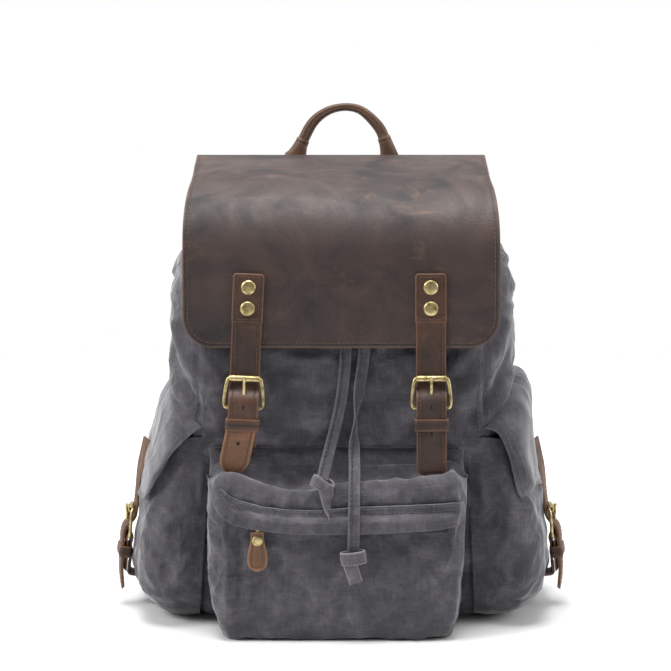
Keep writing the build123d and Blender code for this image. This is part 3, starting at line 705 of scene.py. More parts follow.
# ---------------------------------------------------------------- canvas bag
# Height, half width, front, back and corner radius of the bag from the floor to the gathered mouth.
LEVELS = [
    (0.0, 134.0, -54.0, 77.0, 30.0), (16.0, 143.0, -67.0, 79.5, 34.0), (60.0, 148.0, -79.0, 80.0, 40.0),
    (130.0, 150.0, -84.0, 80.0, 42.0), (200.0, 150.0, -88.0, 80.0, 42.0), (255.0, 150.5, -85.0, 80.0, 44.0),
    (300.0, 151.5, -81.0, 80.0, 46.0), (318.0, 148.0, -80.0, 79.5, 46.0), (338.0, 132.0, -69.0, 73.0, 50.0),
    (356.0, 107.0, -54.5, 58.5, 46.0), (372.0, 105.5, -54.0, 58.0, 46.0),
]
BAG_H, BAG_ROUND = 372.0, 860.0
MOUTH_Z = 356.0
SEAM_X = 125.0
BAG_FOLDS = [
    # Long folds fall from under the lid's front corners towards the pockets.
    ((146, -66, 268), (96, -87, 196), 8.0, 5.5), ((152, -56, 246), (112, -85, 188), 7.0, -4.0),
    ((132, -80, 276), (84, -87, 222), 7.0, 3.5), ((152, -40, 226), (124, -84, 182), 7.0, 4.5),
    ((-148, -62, 268), (-104, -87, 200), 8.0, 5.5), ((-153, -54, 250), (-118, -85, 190), 7.0, -4.0),
    ((-128, -82, 262), (-98, -87, 214), 6.0, 3.6), ((-152, -36, 226), (-126, -84, 184), 7.0, 3.0),
    # Level folds just under the lid and above the front pocket.
    ((-66, -87, 247), (6, -89, 240), 6.0, 4.0), ((-60, -87, 232), (-2, -89, 228), 6.0, -3.0),
    ((34, -88, 240), (64, -87, 248), 5.0, 3.0), ((90, -86, 238), (130, -76, 226), 6.0, 3.2),
    ((-120, -84, 226), (-96, -87, 206), 6.0, 2.6), ((-50, -89, 208), (52, -89, 199), 9.0, -3.2),
    ((-30, -89, 222), (60, -89, 214), 8.0, 2.8), ((60, -88, 192), (118, -80, 178), 6.0, 3.0),
    ((-122, -82, 188), (-90, -86, 174), 5.0, 3.0), ((-60, -88, 186), (20, -88, 180), 7.0, 2.4),
    # The shoulders sag between the seams.
    ((-150, 20, 300), (-148, -40, 318), 9.0, -4.0), ((150, 10, 302), (146, -44, 320), 9.0, -4.0),
    ((150, -20, 326), (134, -60, 322), 6.0, 5.0), ((-152, 50, 250), (-152, -20, 230), 10.0, -3.4),
    ((152, 50, 262), (152, -24, 226), 10.0, 3.6), ((-152, 40, 290), (-152, -10, 262), 8.0, -3.6),
    ((152, 60, 300), (152, 0, 268), 9.0, -3.6), ((-152, 66, 330), (-152, 20, 292), 8.0, 3.0),
]


def level(z):
    """The bag's section at a height, smooth between the given ones."""
    for low, high in zip(LEVELS, LEVELS[1:]):
        if z <= high[0]:
            share = (z - low[0]) / (high[0] - low[0])
            return [a + (b - a) * share for a, b in zip(low[1:], high[1:])]
    return list(LEVELS[-1][1:])


def bag_section(u, z):
    half_w, front, back, radius = level(z)
    runs = oblong(2 * (half_w - radius), back - front - 2 * radius, radius)
    x, y, out = walk((0.0, back), 0.0, runs, u)
    return Vector((x, y, z)), Vector((*out, 0.0))


def bag_place(u, v):
    """The cloth of the bag, from the floor to the mouth: sagging panels, seams, folds and gathers."""
    z = BAG_H * v
    point, out = bag_section(u, z)
    tuck = 7.0 * (1 - smooth(z / 9.0))
    point -= out * tuck
    slack = smooth((z - 20) / 60) * (1 - smooth((z - 340) / 20))
    point = crumple(point, out, 84.0, 5.5 * slack, 3.0)
    point = crumple(point, out, 37.0, 3.8 * slack, 9.0, 1.3)
    point = crumple(point, out, 16.0, 1.5 * slack, 12.0)
    point = folded(point, out, BAG_FOLDS)
    # Seams between the panels pull in.
    for x in (-SEAM_X, SEAM_X):
        point -= out * 1.6 * exp(-((point.x - x) / 2.2) ** 2) * (1 - smooth((z - 300) / 40))
    # The drawstring gathers the cloth into pleats that die out below the shoulder.
    tight = smooth((z - 312) / 44)
    wave = sin(tau * 34 * u + 3 * noise.noise(Vector((cos(tau * u), sin(tau * u), 0)) * 2))
    point += out * tight * (3.0 * wave + 1.3 * sin(tau * 81 * u + 1.2)) * (0.6 if z > MOUTH_Z + 1 else 1.0)
    # The tunnel is a rolled hem.
    point += out * 2.4 * exp(-((z - 364.5) / 5.0) ** 2)
    if z > 366:
        point.z += 1.2 * wave
    return point


def bag_edge(u, v):
    """Distance to the nearest seam on the panels, and to the hem above them."""
    return (abs(abs(bag_section(u, BAG_H * v)[0].x) - SEAM_X) if v < 0.84 else (1 - v) * BAG_H) + 0.6


def canvas_bag():
    bm = new_mesh()
    sheet(bm, 420, 190, (BAG_ROUND, BAG_H), lambda u, v: bag_place(1 - u, v), bag_edge)
    joined(bm)
    floor_rim = [e for e in bm.edges if e.is_boundary and e.verts[0].co.z < 1 and e.verts[1].co.z < 1]
    bmesh.ops.holes_fill(bm, edges=floor_rim, sides=900)
    canvas("canvas_bag", bm, "bag", 1.6, ["bag_front_panel", "bag_side_gussets", "bag_base_panel", "collar",
                                          "drawstring_tunnel", "drawstring_loop", "bag_lining", "base_stiffener"])
    # Felled seams beside the panel joins.
    bm = new_mesh()
    for x in (-SEAM_X - 4, 4 - SEAM_X, SEAM_X - 4, SEAM_X + 4):
        points = []
        for i in range(90):
            z = 60 + 240 * i / 89
            u = seam_share(x, z)
            points.append(bag_place(u, z / BAG_H) + Vector((0, -0.2, 0)))
        stitch_row(bm, points, Vector((0, -1, 0)))
    thread("bag_seam_stitches", bm, "bag", GREY_THREAD)


def seam_share(x, z):
    """The share of the way round at which the front of the bag has this x."""
    return turning_point(lambda u: bag_section(u, z)[0].x > x, 0.30, 0.70, 24)


def back_panel():
    """The flat canvas back above the bag's shoulder, which the lid and the yoke are sewn to."""
    bm = new_mesh()

    def place(u, v):
        z = 306.0 + 93.0 * v
        x = (136.0 - 5.0 * smooth((z - 318) / 70)) * (2 * u - 1)
        half_w, _, back, radius = level(z)
        bend = min(max(abs(x) - (half_w - radius), 0.0), radius)
        on_bag = back - radius + sqrt(radius ** 2 - bend ** 2) - 3.0
        y = on_bag + (80.0 - on_bag) * smooth((z - 320) / 28)
        return Vector((x, y + 0.9 * noise.noise(Vector((x / 34, z / 26, 1))), z))
    sheet(bm, 60, 30, (272.0, 93.0), lambda u, v: place(1 - u, v), lambda u, v: min(u, 1 - u) * 280)
    canvas("back_panel_top", bm, "bag", 1.8, ["bag_back_panel"])


# ---------------------------------------------------------------- lid
LID_RUN = Run((0, 81.4, 398.6), (0, 60, 398.4), (0, 20, 396.8), (0, -18, 393.2), (0, -48, 385.0), (0, -70, 369.5),
              (0, -82.5, 348.0), (0, -88.0, 320.0), (0, -91.0, 290.0), (0, -93.4, 255.5))
LID_W, LID_R, LID_T = 276.4, 27.0, 2.3
# Where each strap leaves the lid, and how many degrees it leans.
STRAPS = {"left": (-82.0, -2.6), "right": (78.0, 0.4)}


def lid_width(rest):
    """Half the lid's width at a distance from its front edge: its corners are round."""
    return LID_W / 2 - corner_inset(LID_R, rest)


def lid_place(u, v, inset=0.0, lift=0.0):
    """The hide of the lid, from its fold at the back to its front edge, or a smaller sheet or a line near it."""
    reach = LID_RUN.length - inset
    rest = reach * (1 - v)
    half = lid_width(rest) - inset
    # The hide draws in a little where it goes over the top.
    x = half * (2 * u - 1) * (1 - 0.046 * (1 - smooth((v - 0.30) / 0.36)))
    point, run = LID_RUN.at(v * reach / LID_RUN.length)
    out = front_of(run)
    side = abs(x) / (LID_W / 2)
    # Leather keeps a slow wave between its straps, its sides droop a little and the front corners curl out.
    point = Vector((x, point.y, point.z))
    calm = min(smooth((abs(x - at) - 13) / 22) for at, _ in STRAPS.values())
    front = smooth((v - 0.45) / 0.3) * calm
    point += out * (1.1 * sin(x / 46 + 0.6) * front + 0.8 * sin(x / 21 + 2.0) * smooth((v - 0.8) / 0.2) * calm)
    point += out * 2.2 * smooth((side - 0.72) / 0.28) * smooth((v - 0.82) / 0.18)
    point.z -= 3.2 * smooth((side - 0.8) / 0.2) * (1 - smooth((v - 0.35) / 0.2)) * smooth(v / 0.12)
    point = crumple(point, out, 70.0, 1.1 * smooth(v / 0.1) * calm, 21.0)
    return point + out * lift


def lid_edge(u, v):
    """Distance to the lid's cut edge, round its corners too."""
    rest = LID_RUN.length * (1 - v)
    x = abs(lid_width(rest) * (2 * u - 1))
    side = LID_W / 2 - x
    if rest < LID_R and x > LID_W / 2 - LID_R:
        return LID_R - hypot(LID_R - side, LID_R - rest)
    return min(side, rest)


def lid():
    bm = new_mesh()
    sheet(bm, 170, 150, (LID_W, LID_RUN.length), lambda u, v: lid_place(1 - u, v), lid_edge)
    hinge = dict(start=(0, 0.0815, 0.4035), end=(0, 0.0700, 0.4035))
    hide = leather("lid_leather_sheet", bm, None, [LID_HIDE, CUT_EDGE], LID_T, side=1.0, replaces=["lid_leather"])
    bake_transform(hide, "bag", "lid", **hinge)

    bm = new_mesh()
    sheet(bm, 90, 110, (LID_W - 10, LID_RUN.length), lambda u, v: lid_place(u, v, 5.0, -0.3),
          lambda u, v: 2.0 + min(min(u, 1 - u) * 260, (1 - v) * 290))
    cloth = finish("lid_lining_cloth", bm, None, [PLAIN], thick=0.8, side=1.0, replaces=["lid_lining"])
    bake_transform(cloth, "bag", "lid", **hinge)

    # One row of stitches runs inside the edge: down one side, round the front and up the other.
    bm = new_mesh()
    inset, points, height = 4.2, [], LID_RUN.length
    corner, straight, front = LID_R - inset, height - LID_R, LID_W - 2 * LID_R
    total = 2 * straight + front + pi * corner
    for i in range(701):
        reach = total * i / 700
        if reach < straight:
            x, s = -LID_W / 2 + inset, reach
        elif reach < straight + pi / 2 * corner:
            turn = (reach - straight) / corner
            x, s = -LID_W / 2 + LID_R - corner * cos(turn), straight + corner * sin(turn)
        elif reach < straight + pi / 2 * corner + front:
            x, s = -front / 2 + reach - straight - pi / 2 * corner, height - inset
        elif reach < total - straight:
            turn = (reach - straight - pi / 2 * corner - front) / corner
            x, s = front / 2 + corner * sin(turn), straight + corner * cos(turn)
        else:
            x, s = LID_W / 2 - inset, total - reach
        half = lid_width(height - s)
        points.append(lid_place((x / half + 1) / 2, s / height, lift=LID_T))
    stitch_row(bm, points, lambda p: Vector((0, p.y, max(p.z - 330, 0) * 1.4)).normalized())
    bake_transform(thread("lid_stitches", bm, None), "bag", "lid", **hinge)

    # The same hide turns down the back and is sewn there.
    bm = new_mesh()

    def strip(u, v):
        x = 131.8 * (2 * u - 1)
        return Vector((x, 80.4 + 0.4 * noise.noise(Vector((x / 30, v, 0))), 398.7 - 48.0 * v))
    sheet(bm, 110, 20, (LID_W, 50.0), strip, lambda u, v: min(min(u, 1 - u) * LID_W, (1 - v) * 50))
    leather("lid_back_strip", bm, "bag", [LID_HIDE, CUT_EDGE], LID_T, side=1.0, replaces=["lid_anchor_strip"])
    bm = new_mesh()
    for row in (0.914, 0.80):
        sewn(bm, strip, lambda s: (0.016 + 0.968 * s, row), LID_T + 0.2)
    thread("lid_strip_stitches", bm, "bag")


# ---------------------------------------------------------------- straps and buckles
# How far a buckle's bars stand before the strap's own plane, the frame's height and the strap's thickness.
BAR_Y, BUCKLE_H, STRAP_T = -4.3, 26.0, 2.4
# The lid straps and the side straps lean with the faces that they lie on.
SLOPE = atan2(9.0, 135.0)
DROP = atan2(14.0, 124.0)


def lid_frame(side):
    """On the outside of the lid where the strap leaves its sewn head."""
    x, lean = STRAPS[side]
    y = -93.0 + 22.0 * 9.0 / 135.0
    return (Matrix.Translation((x, y, 278.0)) @ Matrix.Rotation(-SLOPE, 4, "X")
            @ Matrix.Rotation(radians(-lean), 4, "Y") @ Matrix.Translation((0, -2.2, 0)))


def strap_frame(side):
    return lid_frame(side) @ Matrix.Translation((0, -STRAP_T / 2 - 0.15, 0))


def flap_frame(sign, turn=9.0):
    """On the outside of a side flap, with the strap's front outwards and turned a little forwards."""
    out = 171.0 + (200.0 - 154.0) * 14.0 / 124.0 + 2.5
    place = (Matrix.Translation((out, -4.0, 154.0)) @ Matrix.Rotation(pi / 2 - radians(turn), 4, "Z")
             @ Matrix.Rotation(-DROP, 4, "X"))
    return place if sign > 0 else Matrix.Scale(-1, 4, (1, 0, 0)) @ place


def strap_strip(bm, points, width, tip=0.0, across=12, along=120, pale_from=None, lean=0.0):
    """A leather strap in its own frame: it runs through points (y, z), with a rounded tip. Below pale_from it
    is the third hide, and lean moves its end sideways."""
    run = Run(*[(0, y, z) for y, z in points])
    lean_from = 86.0

    def half_width(reach):
        half = width / 2
        rest = run.length - reach
        if tip and rest < tip:
            half *= sqrt(max(1 - (1 - rest / tip) ** 2, 0.0)) * 0.86 + 0.14 * rest / tip
        return half

    def place(u, v):
        point, way = run.at(v)
        x = half_width(v * run.length) * (2 * u - 1)
        dome = 0.5 * (1 - (2 * u - 1) ** 2)
        drift = lean * smooth((v * run.length - lean_from) / (run.length - lean_from)) if lean else 0.0
        return Vector((x + drift, point.y, point.z)) + front_of(way) * dome

    def rim(u, v):
        return min(min(u, 1 - u) * 2 * half_width(v * run.length), (1 - v) * run.length if tip else 40)
    sheet(bm, across, along, (width, run.length), place, rim)
    for face in bm.faces:
        if pale_from is not None and face.calc_center_median().z < pale_from:
            face.material_index = 2
    return place, run, half_width


def put(bm, matrix):
    bmesh.ops.transform(bm, matrix=matrix, verts=bm.verts)
    if matrix.determinant() < 0:
        bmesh.ops.reverse_faces(bm, faces=bm.faces)


def bent_bar(bm, points, radius, flat=1.0, closed=False, steps=None):
    """A round or flattened bar along a line of points."""
    run = Run(*points, closed=closed)
    steps = steps or max(8, int(run.length / 1.2))
    look = Vector((0, -1, 0))

    def place(u, v):
        point, way = run.at(v % 1.0 if closed and v >= 1 else v)
        if closed:
            before, after = run.at((v - 0.01) % 1)[0], run.at((v + 0.01) % 1)[0]
            way = (after - before).normalized()
        side = way.cross(look).normalized()
        return point + (side * cos(tau * u) * flat + look * sin(tau * u)) * radius
    sheet(bm, 14, steps, (tau * radius, run.length), place)
    joined(bm, 0.02)
    if not closed:
        capped(bm)


def buckle_frame(width, roller_z):
    """A cast rectangular frame, flaring towards its heel bar."""
    heel_z, top, low = roller_z - BUCKLE_H, width / 2 + 2.2, width / 2 + 3.6
    bm = new_mesh()
    corners = [(-top + 3, roller_z), (0, roller_z), (top - 3, roller_z), (top - 0.4, roller_z - 2.4),
               ((top + low) / 2 + 0.5, roller_z - 13), (low, heel_z + 3.4), (low - 3, heel_z + 0.2),
               (0, heel_z), (-low + 3, heel_z + 0.2), (-low, heel_z + 3.4),
               (-(top + low) / 2 - 0.5, roller_z - 13), (-top + 0.4, roller_z - 2.4)]
    bent_bar(bm, [(x, BAR_Y - (0.7 if abs(x) > width / 2 else 0), z) for x, z in corners], 1.45, flat=1.1,
             closed=True, steps=150)
    return bm


def roller_barrel(width, roller_z, matrix, name, body, node):
    """The loose tube on the frame's top bar, slightly waisted at its ends: (radius, distance from its middle)."""
    bm = new_mesh()
    reach = width / 2 + 0.4
    profile = [(1.6, -reach), (2.5, -reach), (2.8, -reach + 0.5), (2.8, 0.0), (2.8, reach - 0.5), (2.5, reach),
               (1.6, reach), (1.6, -reach)]
    spun_cap(bm, profile, matrix @ Matrix.Translation((0, BAR_Y, roller_z)) @ Matrix.Rotation(pi / 2, 4, "Y"), 28)
    brass(name, bm, body, [node])


def keeper_band(width, z, height):
    """A leather loop round the strap and its lower leather."""
    bm = new_mesh()
    half, front, back, radius = width / 2 + 1.0, BAR_Y - 6.9, BAR_Y + 2.9, 1.8
    runs = oblong(2 * (half - radius), back - front - 2 * radius, radius)

    def place(u, v):
        x, y, out = walk((0.0, back), 0.0, runs, u)
        bulge, dip = 0.5 * sin(pi * v), 0.4 * (x / half) ** 2 * (y < 0)
        return Vector((x + out[0] * bulge, y + out[1] * bulge - dip, z + height * (v - 0.5)))
    sheet(bm, 72, 12, (80.0, height), place, lambda u, v: min(v, 1 - v) * height * 0.7)
    joined(bm)
    return bm


def strap_stitching(place, half_width, run, start, stop, inset=3.3):
    """Stitches down both edges of a strap, joined round its tip."""
    bm = new_mesh()
    for sign in (-1, 1):
        points = []
        for i in range(141):
            v = start + (stop - start) * i / 140
            half = max(half_width(v * run.length), 0.01)
            x = max(half - inset, 0.0) if half > inset else 0.0
            points.append(place(0.5 + sign * x / half / 2, v) + front_of(run.at(v)[1]) * 1.3)
        stitch_row(bm, points, Vector((0, -1, 0)), length=2.6, gap=1.0, thick=0.6)
    return bm


def painted_hole_shade(bm, place, run, v, width, height):
    """A hole punched in the strap, shown as a disc on its face that carries the hole's painted shade."""
    point, face = place(0.5, v), front_of(run.at(v)[1])
    disc = bmesh.ops.create_circle(bm, cap_ends=True, segments=20, radius=width / 2)["verts"]
    bmesh.ops.scale(bm, vec=(1, height / width, 1), verts=disc)
    turn = face.to_track_quat("Z", "Y").to_matrix().to_4x4()
    bmesh.ops.transform(bm, matrix=Matrix.Translation(point + face * 1.36) @ turn, verts=disc)


def lid_strap(side):
    frame_in = strap_frame(side)
    width, roller_z = 26.0, -49.0
    heel_z = roller_z - BUCKLE_H
    pale = side == "left"
    body = f"lid_strap_{side}"
    bm = new_mesh()
    curl = 4.5 if pale else 2.0
    points = [(0.1, 5.0), (0.0, -20), (-0.1, roller_z + 2), (-1.6, roller_z - 8), (-8.4, heel_z + 9),
              (-9.8, heel_z), (-9.2, heel_z - 14), (-8.8, heel_z - 34), (-9.2 + curl, heel_z - 59.5)]
    place, run, half = strap_strip(bm, points, width, tip=15.0 if pale else 6.0, across=14, along=130,
                                   pale_from=heel_z - 14 if pale else None, lean=-6.5 if pale else 0.0)
    put(bm, frame_in)
    strap = leather(f"{side}_lid_strap", bm, None, [STRAP_HIDE, CUT_EDGE, PALE_HIDE], STRAP_T,
                    replaces=[f"strap_{side}"])
    top, low = frame_in @ Vector((0, 0, 1.0)), frame_in @ Vector((0, 0, -7.0))
    hinge = dict(start=tuple(top / 1000), end=tuple(low / 1000))
    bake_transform(strap, "lid", body, **hinge)
    bm = strap_stitching(place, half, run, 0.03, 0.972)
    put(bm, frame_in)
    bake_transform(thread(f"{side}_lid_strap_stitches", bm, None), "lid", body, **hinge)
    bm = new_mesh()
    # Two holes below the buckle: how far down the strap, how wide and how high.
    for drop, wide, high in (81.0, 1.8, 5.0), (113.0, 3.0, 3.6) if pale else (104.0, 1.8, 6.0):
        painted_hole_shade(bm, place, run, drop / run.length, wide, high)
    put(bm, frame_in)
    finish(f"{side}_lid_strap_holes", bm, body, [HOLE_SHADE], weld=0)

    bm = buckle_frame(width, roller_z)
    put(bm, frame_in)
    brass(f"{side}_lid_buckle", bm, body, [f"buckle_{side}"], weld=0.05)
    roller_barrel(width, roller_z, frame_in, f"{side}_lid_roller", f"lid_roller_{side}", f"roller_{side}")
    keeper_and_chape(body, frame_in, width, heel_z, -108.0, f"buckle_leathers_{side}", f"{side}_lid")


def keeper_and_chape(body, frame_in, width, heel_z, chape_z, node, name):
    """The loop that holds the strap's end, and the lower leather, folded round the heel bar and sewn to itself."""
    bm = keeper_band(width, heel_z - 14, 10.5)
    put(bm, frame_in)
    leather(f"{name}_keeper", bm, body, [STRAP_HIDE, CUT_EDGE], 1.6, round_edge=0.35, replaces=[node])
    bm = new_mesh()
    points = [(BAR_Y + 1.9, chape_z + 14), (BAR_Y + 2.1, heel_z - 6), (BAR_Y + 2.7, heel_z),
              (BAR_Y + 0.2, heel_z + 2.8), (BAR_Y - 2.5, heel_z), (BAR_Y - 1.4, heel_z - 6),
              (BAR_Y - 0.4, heel_z - 14), (BAR_Y - 0.3, chape_z)]
    strap_strip(bm, points, width - 1.0, across=8, along=60)
    put(bm, frame_in)
    leather(f"{name}_lower_leather", bm, body, [STRAP_HIDE, CUT_EDGE], 1.6, round_edge=0.35)


def strap_heads():
    """The sewn head of each lid strap: a short leather patch with a box of stitches and two rivets."""
    for side in SIDES:
        bm = new_mesh()
        width, height, corner = 27.0, 43.0, 4.0

        def place(u, v):
            z = height * (1 - v) - 0.5
            x = (width / 2 - corner_inset(corner, height - z)) * (2 * u - 1)
            return Vector((x, -0.3 - 0.5 * (1 - (2 * u - 1) ** 2) + 0.2 * sin(z / 6), z))

        def rim(u, v):
            return min(min(u, 1 - u) * width, v * height, (1 - v) * height)
        sheet(bm, 18, 28, (width, height), place, rim)
        put(bm, lid_frame(side))
        leather(f"{side}_strap_head", bm, "lid", [STRAP_HIDE, CUT_EDGE], 2.2, side=-1.0,
                replaces=["strap_heads"] if side == "left" else [])
        bm = new_mesh()
        box = [(-1, 0.07), (1, 0.07), (1, 0.93), (-1, 0.93), (-1, 0.07)]
        for (a, b), (c, d) in zip(box, box[1:]):
            points = []
            for i in range(25):
                s = i / 24
                u = 0.5 + (a + (c - a) * s) * 0.36
                points.append(place(u, b + (d - b) * s) + Vector((0, -2.4, 0)))
            stitch_row(bm, points, Vector((0, -1, 0)), length=2.6, gap=1.0)
        put(bm, lid_frame(side))
        thread(f"{side}_strap_head_stitches", bm, "lid")


def spun_cap(bm, profile, matrix, segments=40):
    """A turned button or cap: its profile (radius, height) spun about its axis. Finished verts are tagged."""
    verts = [bm.verts.new((r, 0, h)) for r, h in profile]
    edges = [bm.edges.new(pair) for pair in zip(verts, verts[1:])]
    bmesh.ops.spin(bm, geom=verts + edges, axis=(0, 0, 1), cent=(0, 0, 0), steps=segments, angle=tau, use_merge=True)
    bmesh.ops.remove_doubles(bm, verts=[v for v in bm.verts if not v.tag], dist=0.001)
    fresh = [v for v in bm.verts if not v.tag]
    bmesh.ops.transform(bm, matrix=matrix, verts=fresh)
    for vert in fresh:
        vert.tag = True
        for face in vert.link_faces:
            face.smooth = True


# Profiles of a rivet's cap and of the smaller one on the inside.
CAP = [(0.0, 2.1), (2.4, 2.05), (4.6, 1.85), (5.7, 1.5), (6.25, 1.0), (6.5, 0.4), (6.5, 0.0), (0.0, 0.0)]
INNER_CAP = [(0.0, 1.0), (3.4, 1.0), (4.3, 0.7), (4.5, 0.0), (0.0, 0.0)]


def rivet_caps():
    bm = new_mesh()
    for side in SIDES:
        for height in (30.5, 12.0):
            for profile, y, turn, segments in (CAP, -2.9, pi / 2, 40), (INNER_CAP, 3.1, -pi / 2, 24):
                spot = lid_frame(side) @ Matrix.Translation((0, y, height)) @ Matrix.Rotation(turn, 4, "X")
                spun_cap(bm, profile, spot, segments)
    brass("lid_rivet_caps", bm, "lid", ["lid_rivets"])


# ---------------------------------------------------------------- front pocket
POCKET_X, POCKET_W = -4.0, 111.5
POCKET_RUN = Run((0, -88.0, 164.5), (0, -91.5, 152.0), (0, -97.0, 142.5), (0, -104.0, 138.0), (0, -111.0, 139.0),
                 (0, -118.5, 140.5), (0, -124.5, 137.0), (0, -127.5, 128.0), (0, -127.6, 114.0), (0, -127.2, 96.0),
                 (0, -128.2, 74.0), (0, -130.5, 46.0), (0, -131.5, 22.0), (0, -128.5, 6.0), (0, -119.0, 0.8),
                 (0, -90.0, 0.8),
                 (0, -74.0, 0.8))
RIDGE = Run((-112, 151, 0), (-96, 150, 0), (-80, 146, 0), (-60, 139, 0), (-30, 134.5, 0), (0, 139, 0), (32, 143, 0),
            (62, 144, 0), (92, 147, 0), (104, 151, 0))
POCKET_FOLDS = [
    # Upright creases near the left side and long slack ones on the right.
    ((-98, -128, 112), (-99, -128, 24), 3.5, 2.6), ((-88, -130, 100), (-90, -130, 20), 4.0, -2.4),
    ((-79, -130, 88), (-80, -130, 30), 3.5, 2.0), ((-104, -124, 96), (-106, -122, 30), 3.5, -2.0),
    ((100, -126, 132), (96, -128, 86), 3.5, 3.0), ((96, -128, 86), (84, -130, 60), 4.0, 2.6),
    ((84, -130, 62), (62, -130, 44), 5.0, 2.2), ((92, -128, 92), (70, -130, 100), 6.0, -1.6),
    ((80, -130, 96), (40, -130, 64), 7.0, 1.6), ((-20, -130, 50), (40, -130, 34), 8.0, 1.6),
    ((-60, -130, 62), (-10, -130, 38), 7.0, -1.6), ((10, -130, 22), (60, -128, 30), 6.0, 1.8),
    ((-60, -130, 88), (-20, -130, 70), 6.0, 1.0), ((100, -122, 60), (98, -124, 20), 3.5, 2.2),
    ((-112, -112, 130), (-90, -122, 128), 3.0, -2.6), ((-92, -118, 140), (-70, -124, 122), 3.5, 2.4),
    ((-96, -110, 144), (-84, -98, 147), 4.0, 2.6), ((96, -112, 146), (98, -98, 154), 3.5, 2.6),
    ((-60, -104, 140), (60, -104, 142), 7.0, -3.0),
]


def pocket_place(u, v, lift=0.0):
    """The pocket's cloth: across it from one side seam to the other, and down its profile."""
    profile, run = POCKET_RUN.at(v)
    front, z = profile.y, profile.z
    out = front_of(run)
    bottom = min(max((26 - z) / 26, 0.0), 1.0)
    half = POCKET_W - 4.0 * smooth((80 - z) / 70) - 5.0 * bottom - 4.0 * (1 - sqrt(1 - 0.96 * bottom ** 2))
    back = -76.0 if z < 60 else -84.0 - 4.0 * smooth((z - 60) / 100)
    deep = max(back - front, 0.6)
    radius = min(20.0 - 9.0 * bottom, deep * 0.92, 19.0)
    straight = max(deep - radius, 0.0)
    x, y, left = walk((-half, back), -pi / 2, three_sides(straight, 2 * (half - radius), radius), u)
    facing = Vector((-left[0], -left[1], 0))
    lean = abs(out.z) * max(0.0, -facing.y)
    facing = (facing * (1 - lean) + Vector((0, 0, out.z)) * lean).normalized()
    point = Vector((x + POCKET_X, y, z))
    middle = max(0.0, 1 - abs(x) / half)
    # The top edge sags between its ends.
    near_ridge = exp(-((profile.z - 139) / 16) ** 2) if front < -93 else 0.0
    point.z += (RIDGE.at((x + 112) / 216)[0].y - 141.0) * near_ridge * smooth(middle * 8)
    slack = smooth((v - 0.04) / 0.1) * (1 - smooth((v - 0.88) / 0.08))
    point = crumple(point, facing, 66.0, 3.6 * slack, 5.0, 0.7)
    point = crumple(point, facing, 30.0, 2.9 * slack, 14.0)
    point = crumple(point, facing, 13.0, 1.1 * slack, 8.0)
    if slack > 0:
        point = folded(point, facing, POCKET_FOLDS)
    # Nothing stands in the way of the zip's pull.
    swept = smooth((point.z - 54) / 8) * (1 - smooth((point.z - 112) / 8)) * smooth((100 - abs(point.x)) / 8)
    point.y += max(-129.6 - point.y, 0.0) * swept
    by_zip = smooth((point.z - 86) / 8) * (1 - smooth((point.z - 117) / 6)) * smooth((106 - abs(point.x)) / 8)
    point.y += max(-128.0 - point.y, 0.0) * by_zip
    point += facing * lift
    point.z = max(point.z, 0.8)
    return point


def front_pocket():
    bm = new_mesh()
    sheet(bm, 250, 190, (300.0, POCKET_RUN.length), lambda u, v: pocket_place(1 - u, v))
    canvas("front_pocket_cloth", bm, "bag", 1.4, ["front_pocket"])
    # A dark bar along the pocket's top seam is painted shade: it stands in for the shadowed crevice where the
    # pocket meets the bag.
    bm = new_mesh()
    bent_bar(bm, [pocket_place(0.02 + 0.96 * i / 30, 0.0) + Vector((0, -1.0, 0.4)) for i in range(31)], 1.1)
    finish("pocket_top_seam_shade", bm, "bag", [PLAIN], outward=True)
    zip_cover()
    zip_parts()


BAND_LOW = Run((-113, 131, 0), (-109, 118, 0), (-99, 109, 0), (-81, 103.5, 0), (-56, 99.8, 0), (-22, 98.2, 0),
               (32, 99.0, 0), (77, 101.5, 0), (96, 104.5, 0), (105.5, 108, 0))
BAND_TOP = Run((-112.5, 134, 0), (-104, 130, 0), (-90, 125, 0), (-46, 120.5, 0), (0, 120.5, 0), (50, 122.0, 0),
               (98, 123.0, 0), (105.5, 124, 0))


def pocket_face(x, z):
    """The pocket's outer face at a place on its front."""
    v = turning_point(lambda share: POCKET_RUN.at(share)[0].z > z, 0.25, 0.62)
    return pocket_place(turning_point(lambda share: pocket_guide(share, v) < x, 0.0, 1.0), v)


def pocket_guide(u, v):
    """The x of the pocket's plain shape, before its cloth is crumpled."""
    back, radius = -84.0, 19.0
    deep = back - POCKET_RUN.at(v)[0].y
    runs = three_sides(deep - radius, 2 * (POCKET_W - radius), radius)
    return walk((-POCKET_W, back), -pi / 2, runs, u)[0] + POCKET_X


def zip_cover():
    """A folded strip of canvas over the zip, sewn above it and standing off at its lower edge."""
    cache = {}

    def place(u, v):
        key = (round(u, 4), round(v, 4))
        if key not in cache:
            top, low = BAND_TOP.at(u)[0], BAND_LOW.at(u)[0]
            x, z = top.x + (low.x - top.x) * v, top.y + (low.y - top.y) * v
            point = pocket_face(x, z)
            stand = 2.2 + 3.0 * smooth(v) * smooth(min(u, 1 - u) * 9) + 0.5 * sin(u * 23) * v
            point = point + Vector((0, -stand, 0))
            # Its lower part clears the zip's runner along the whole zip.
            clear = smooth((v - 0.3) / 0.3) * smooth((102 - abs(x)) / 8)
            point.y += min(-135.0 - point.y, 0.0) * clear
            cache[key] = point
        return cache[key]
    bm = new_mesh()
    sheet(bm, 150, 22, (218.0, 24.0), place, lambda u, v: min(v, 1 - v) * 24 + 0.2)
    finish("zip_cover_strip", bm, "bag", [CANVAS], thick=1.5, side=-1.0, round_edge=0.4,
           replaces=["zip_cover_band"])
    bm = new_mesh()
    for row in (0.09, 0.26):
        stitch_row(bm, [place(0.02 + 0.96 * i / 160, row) + Vector((0, -1.6, 0)) for i in range(161)],
                   Vector((0, -1, 0.1)))
    thread("zip_cover_stitches", bm, "bag", GREY_THREAD)


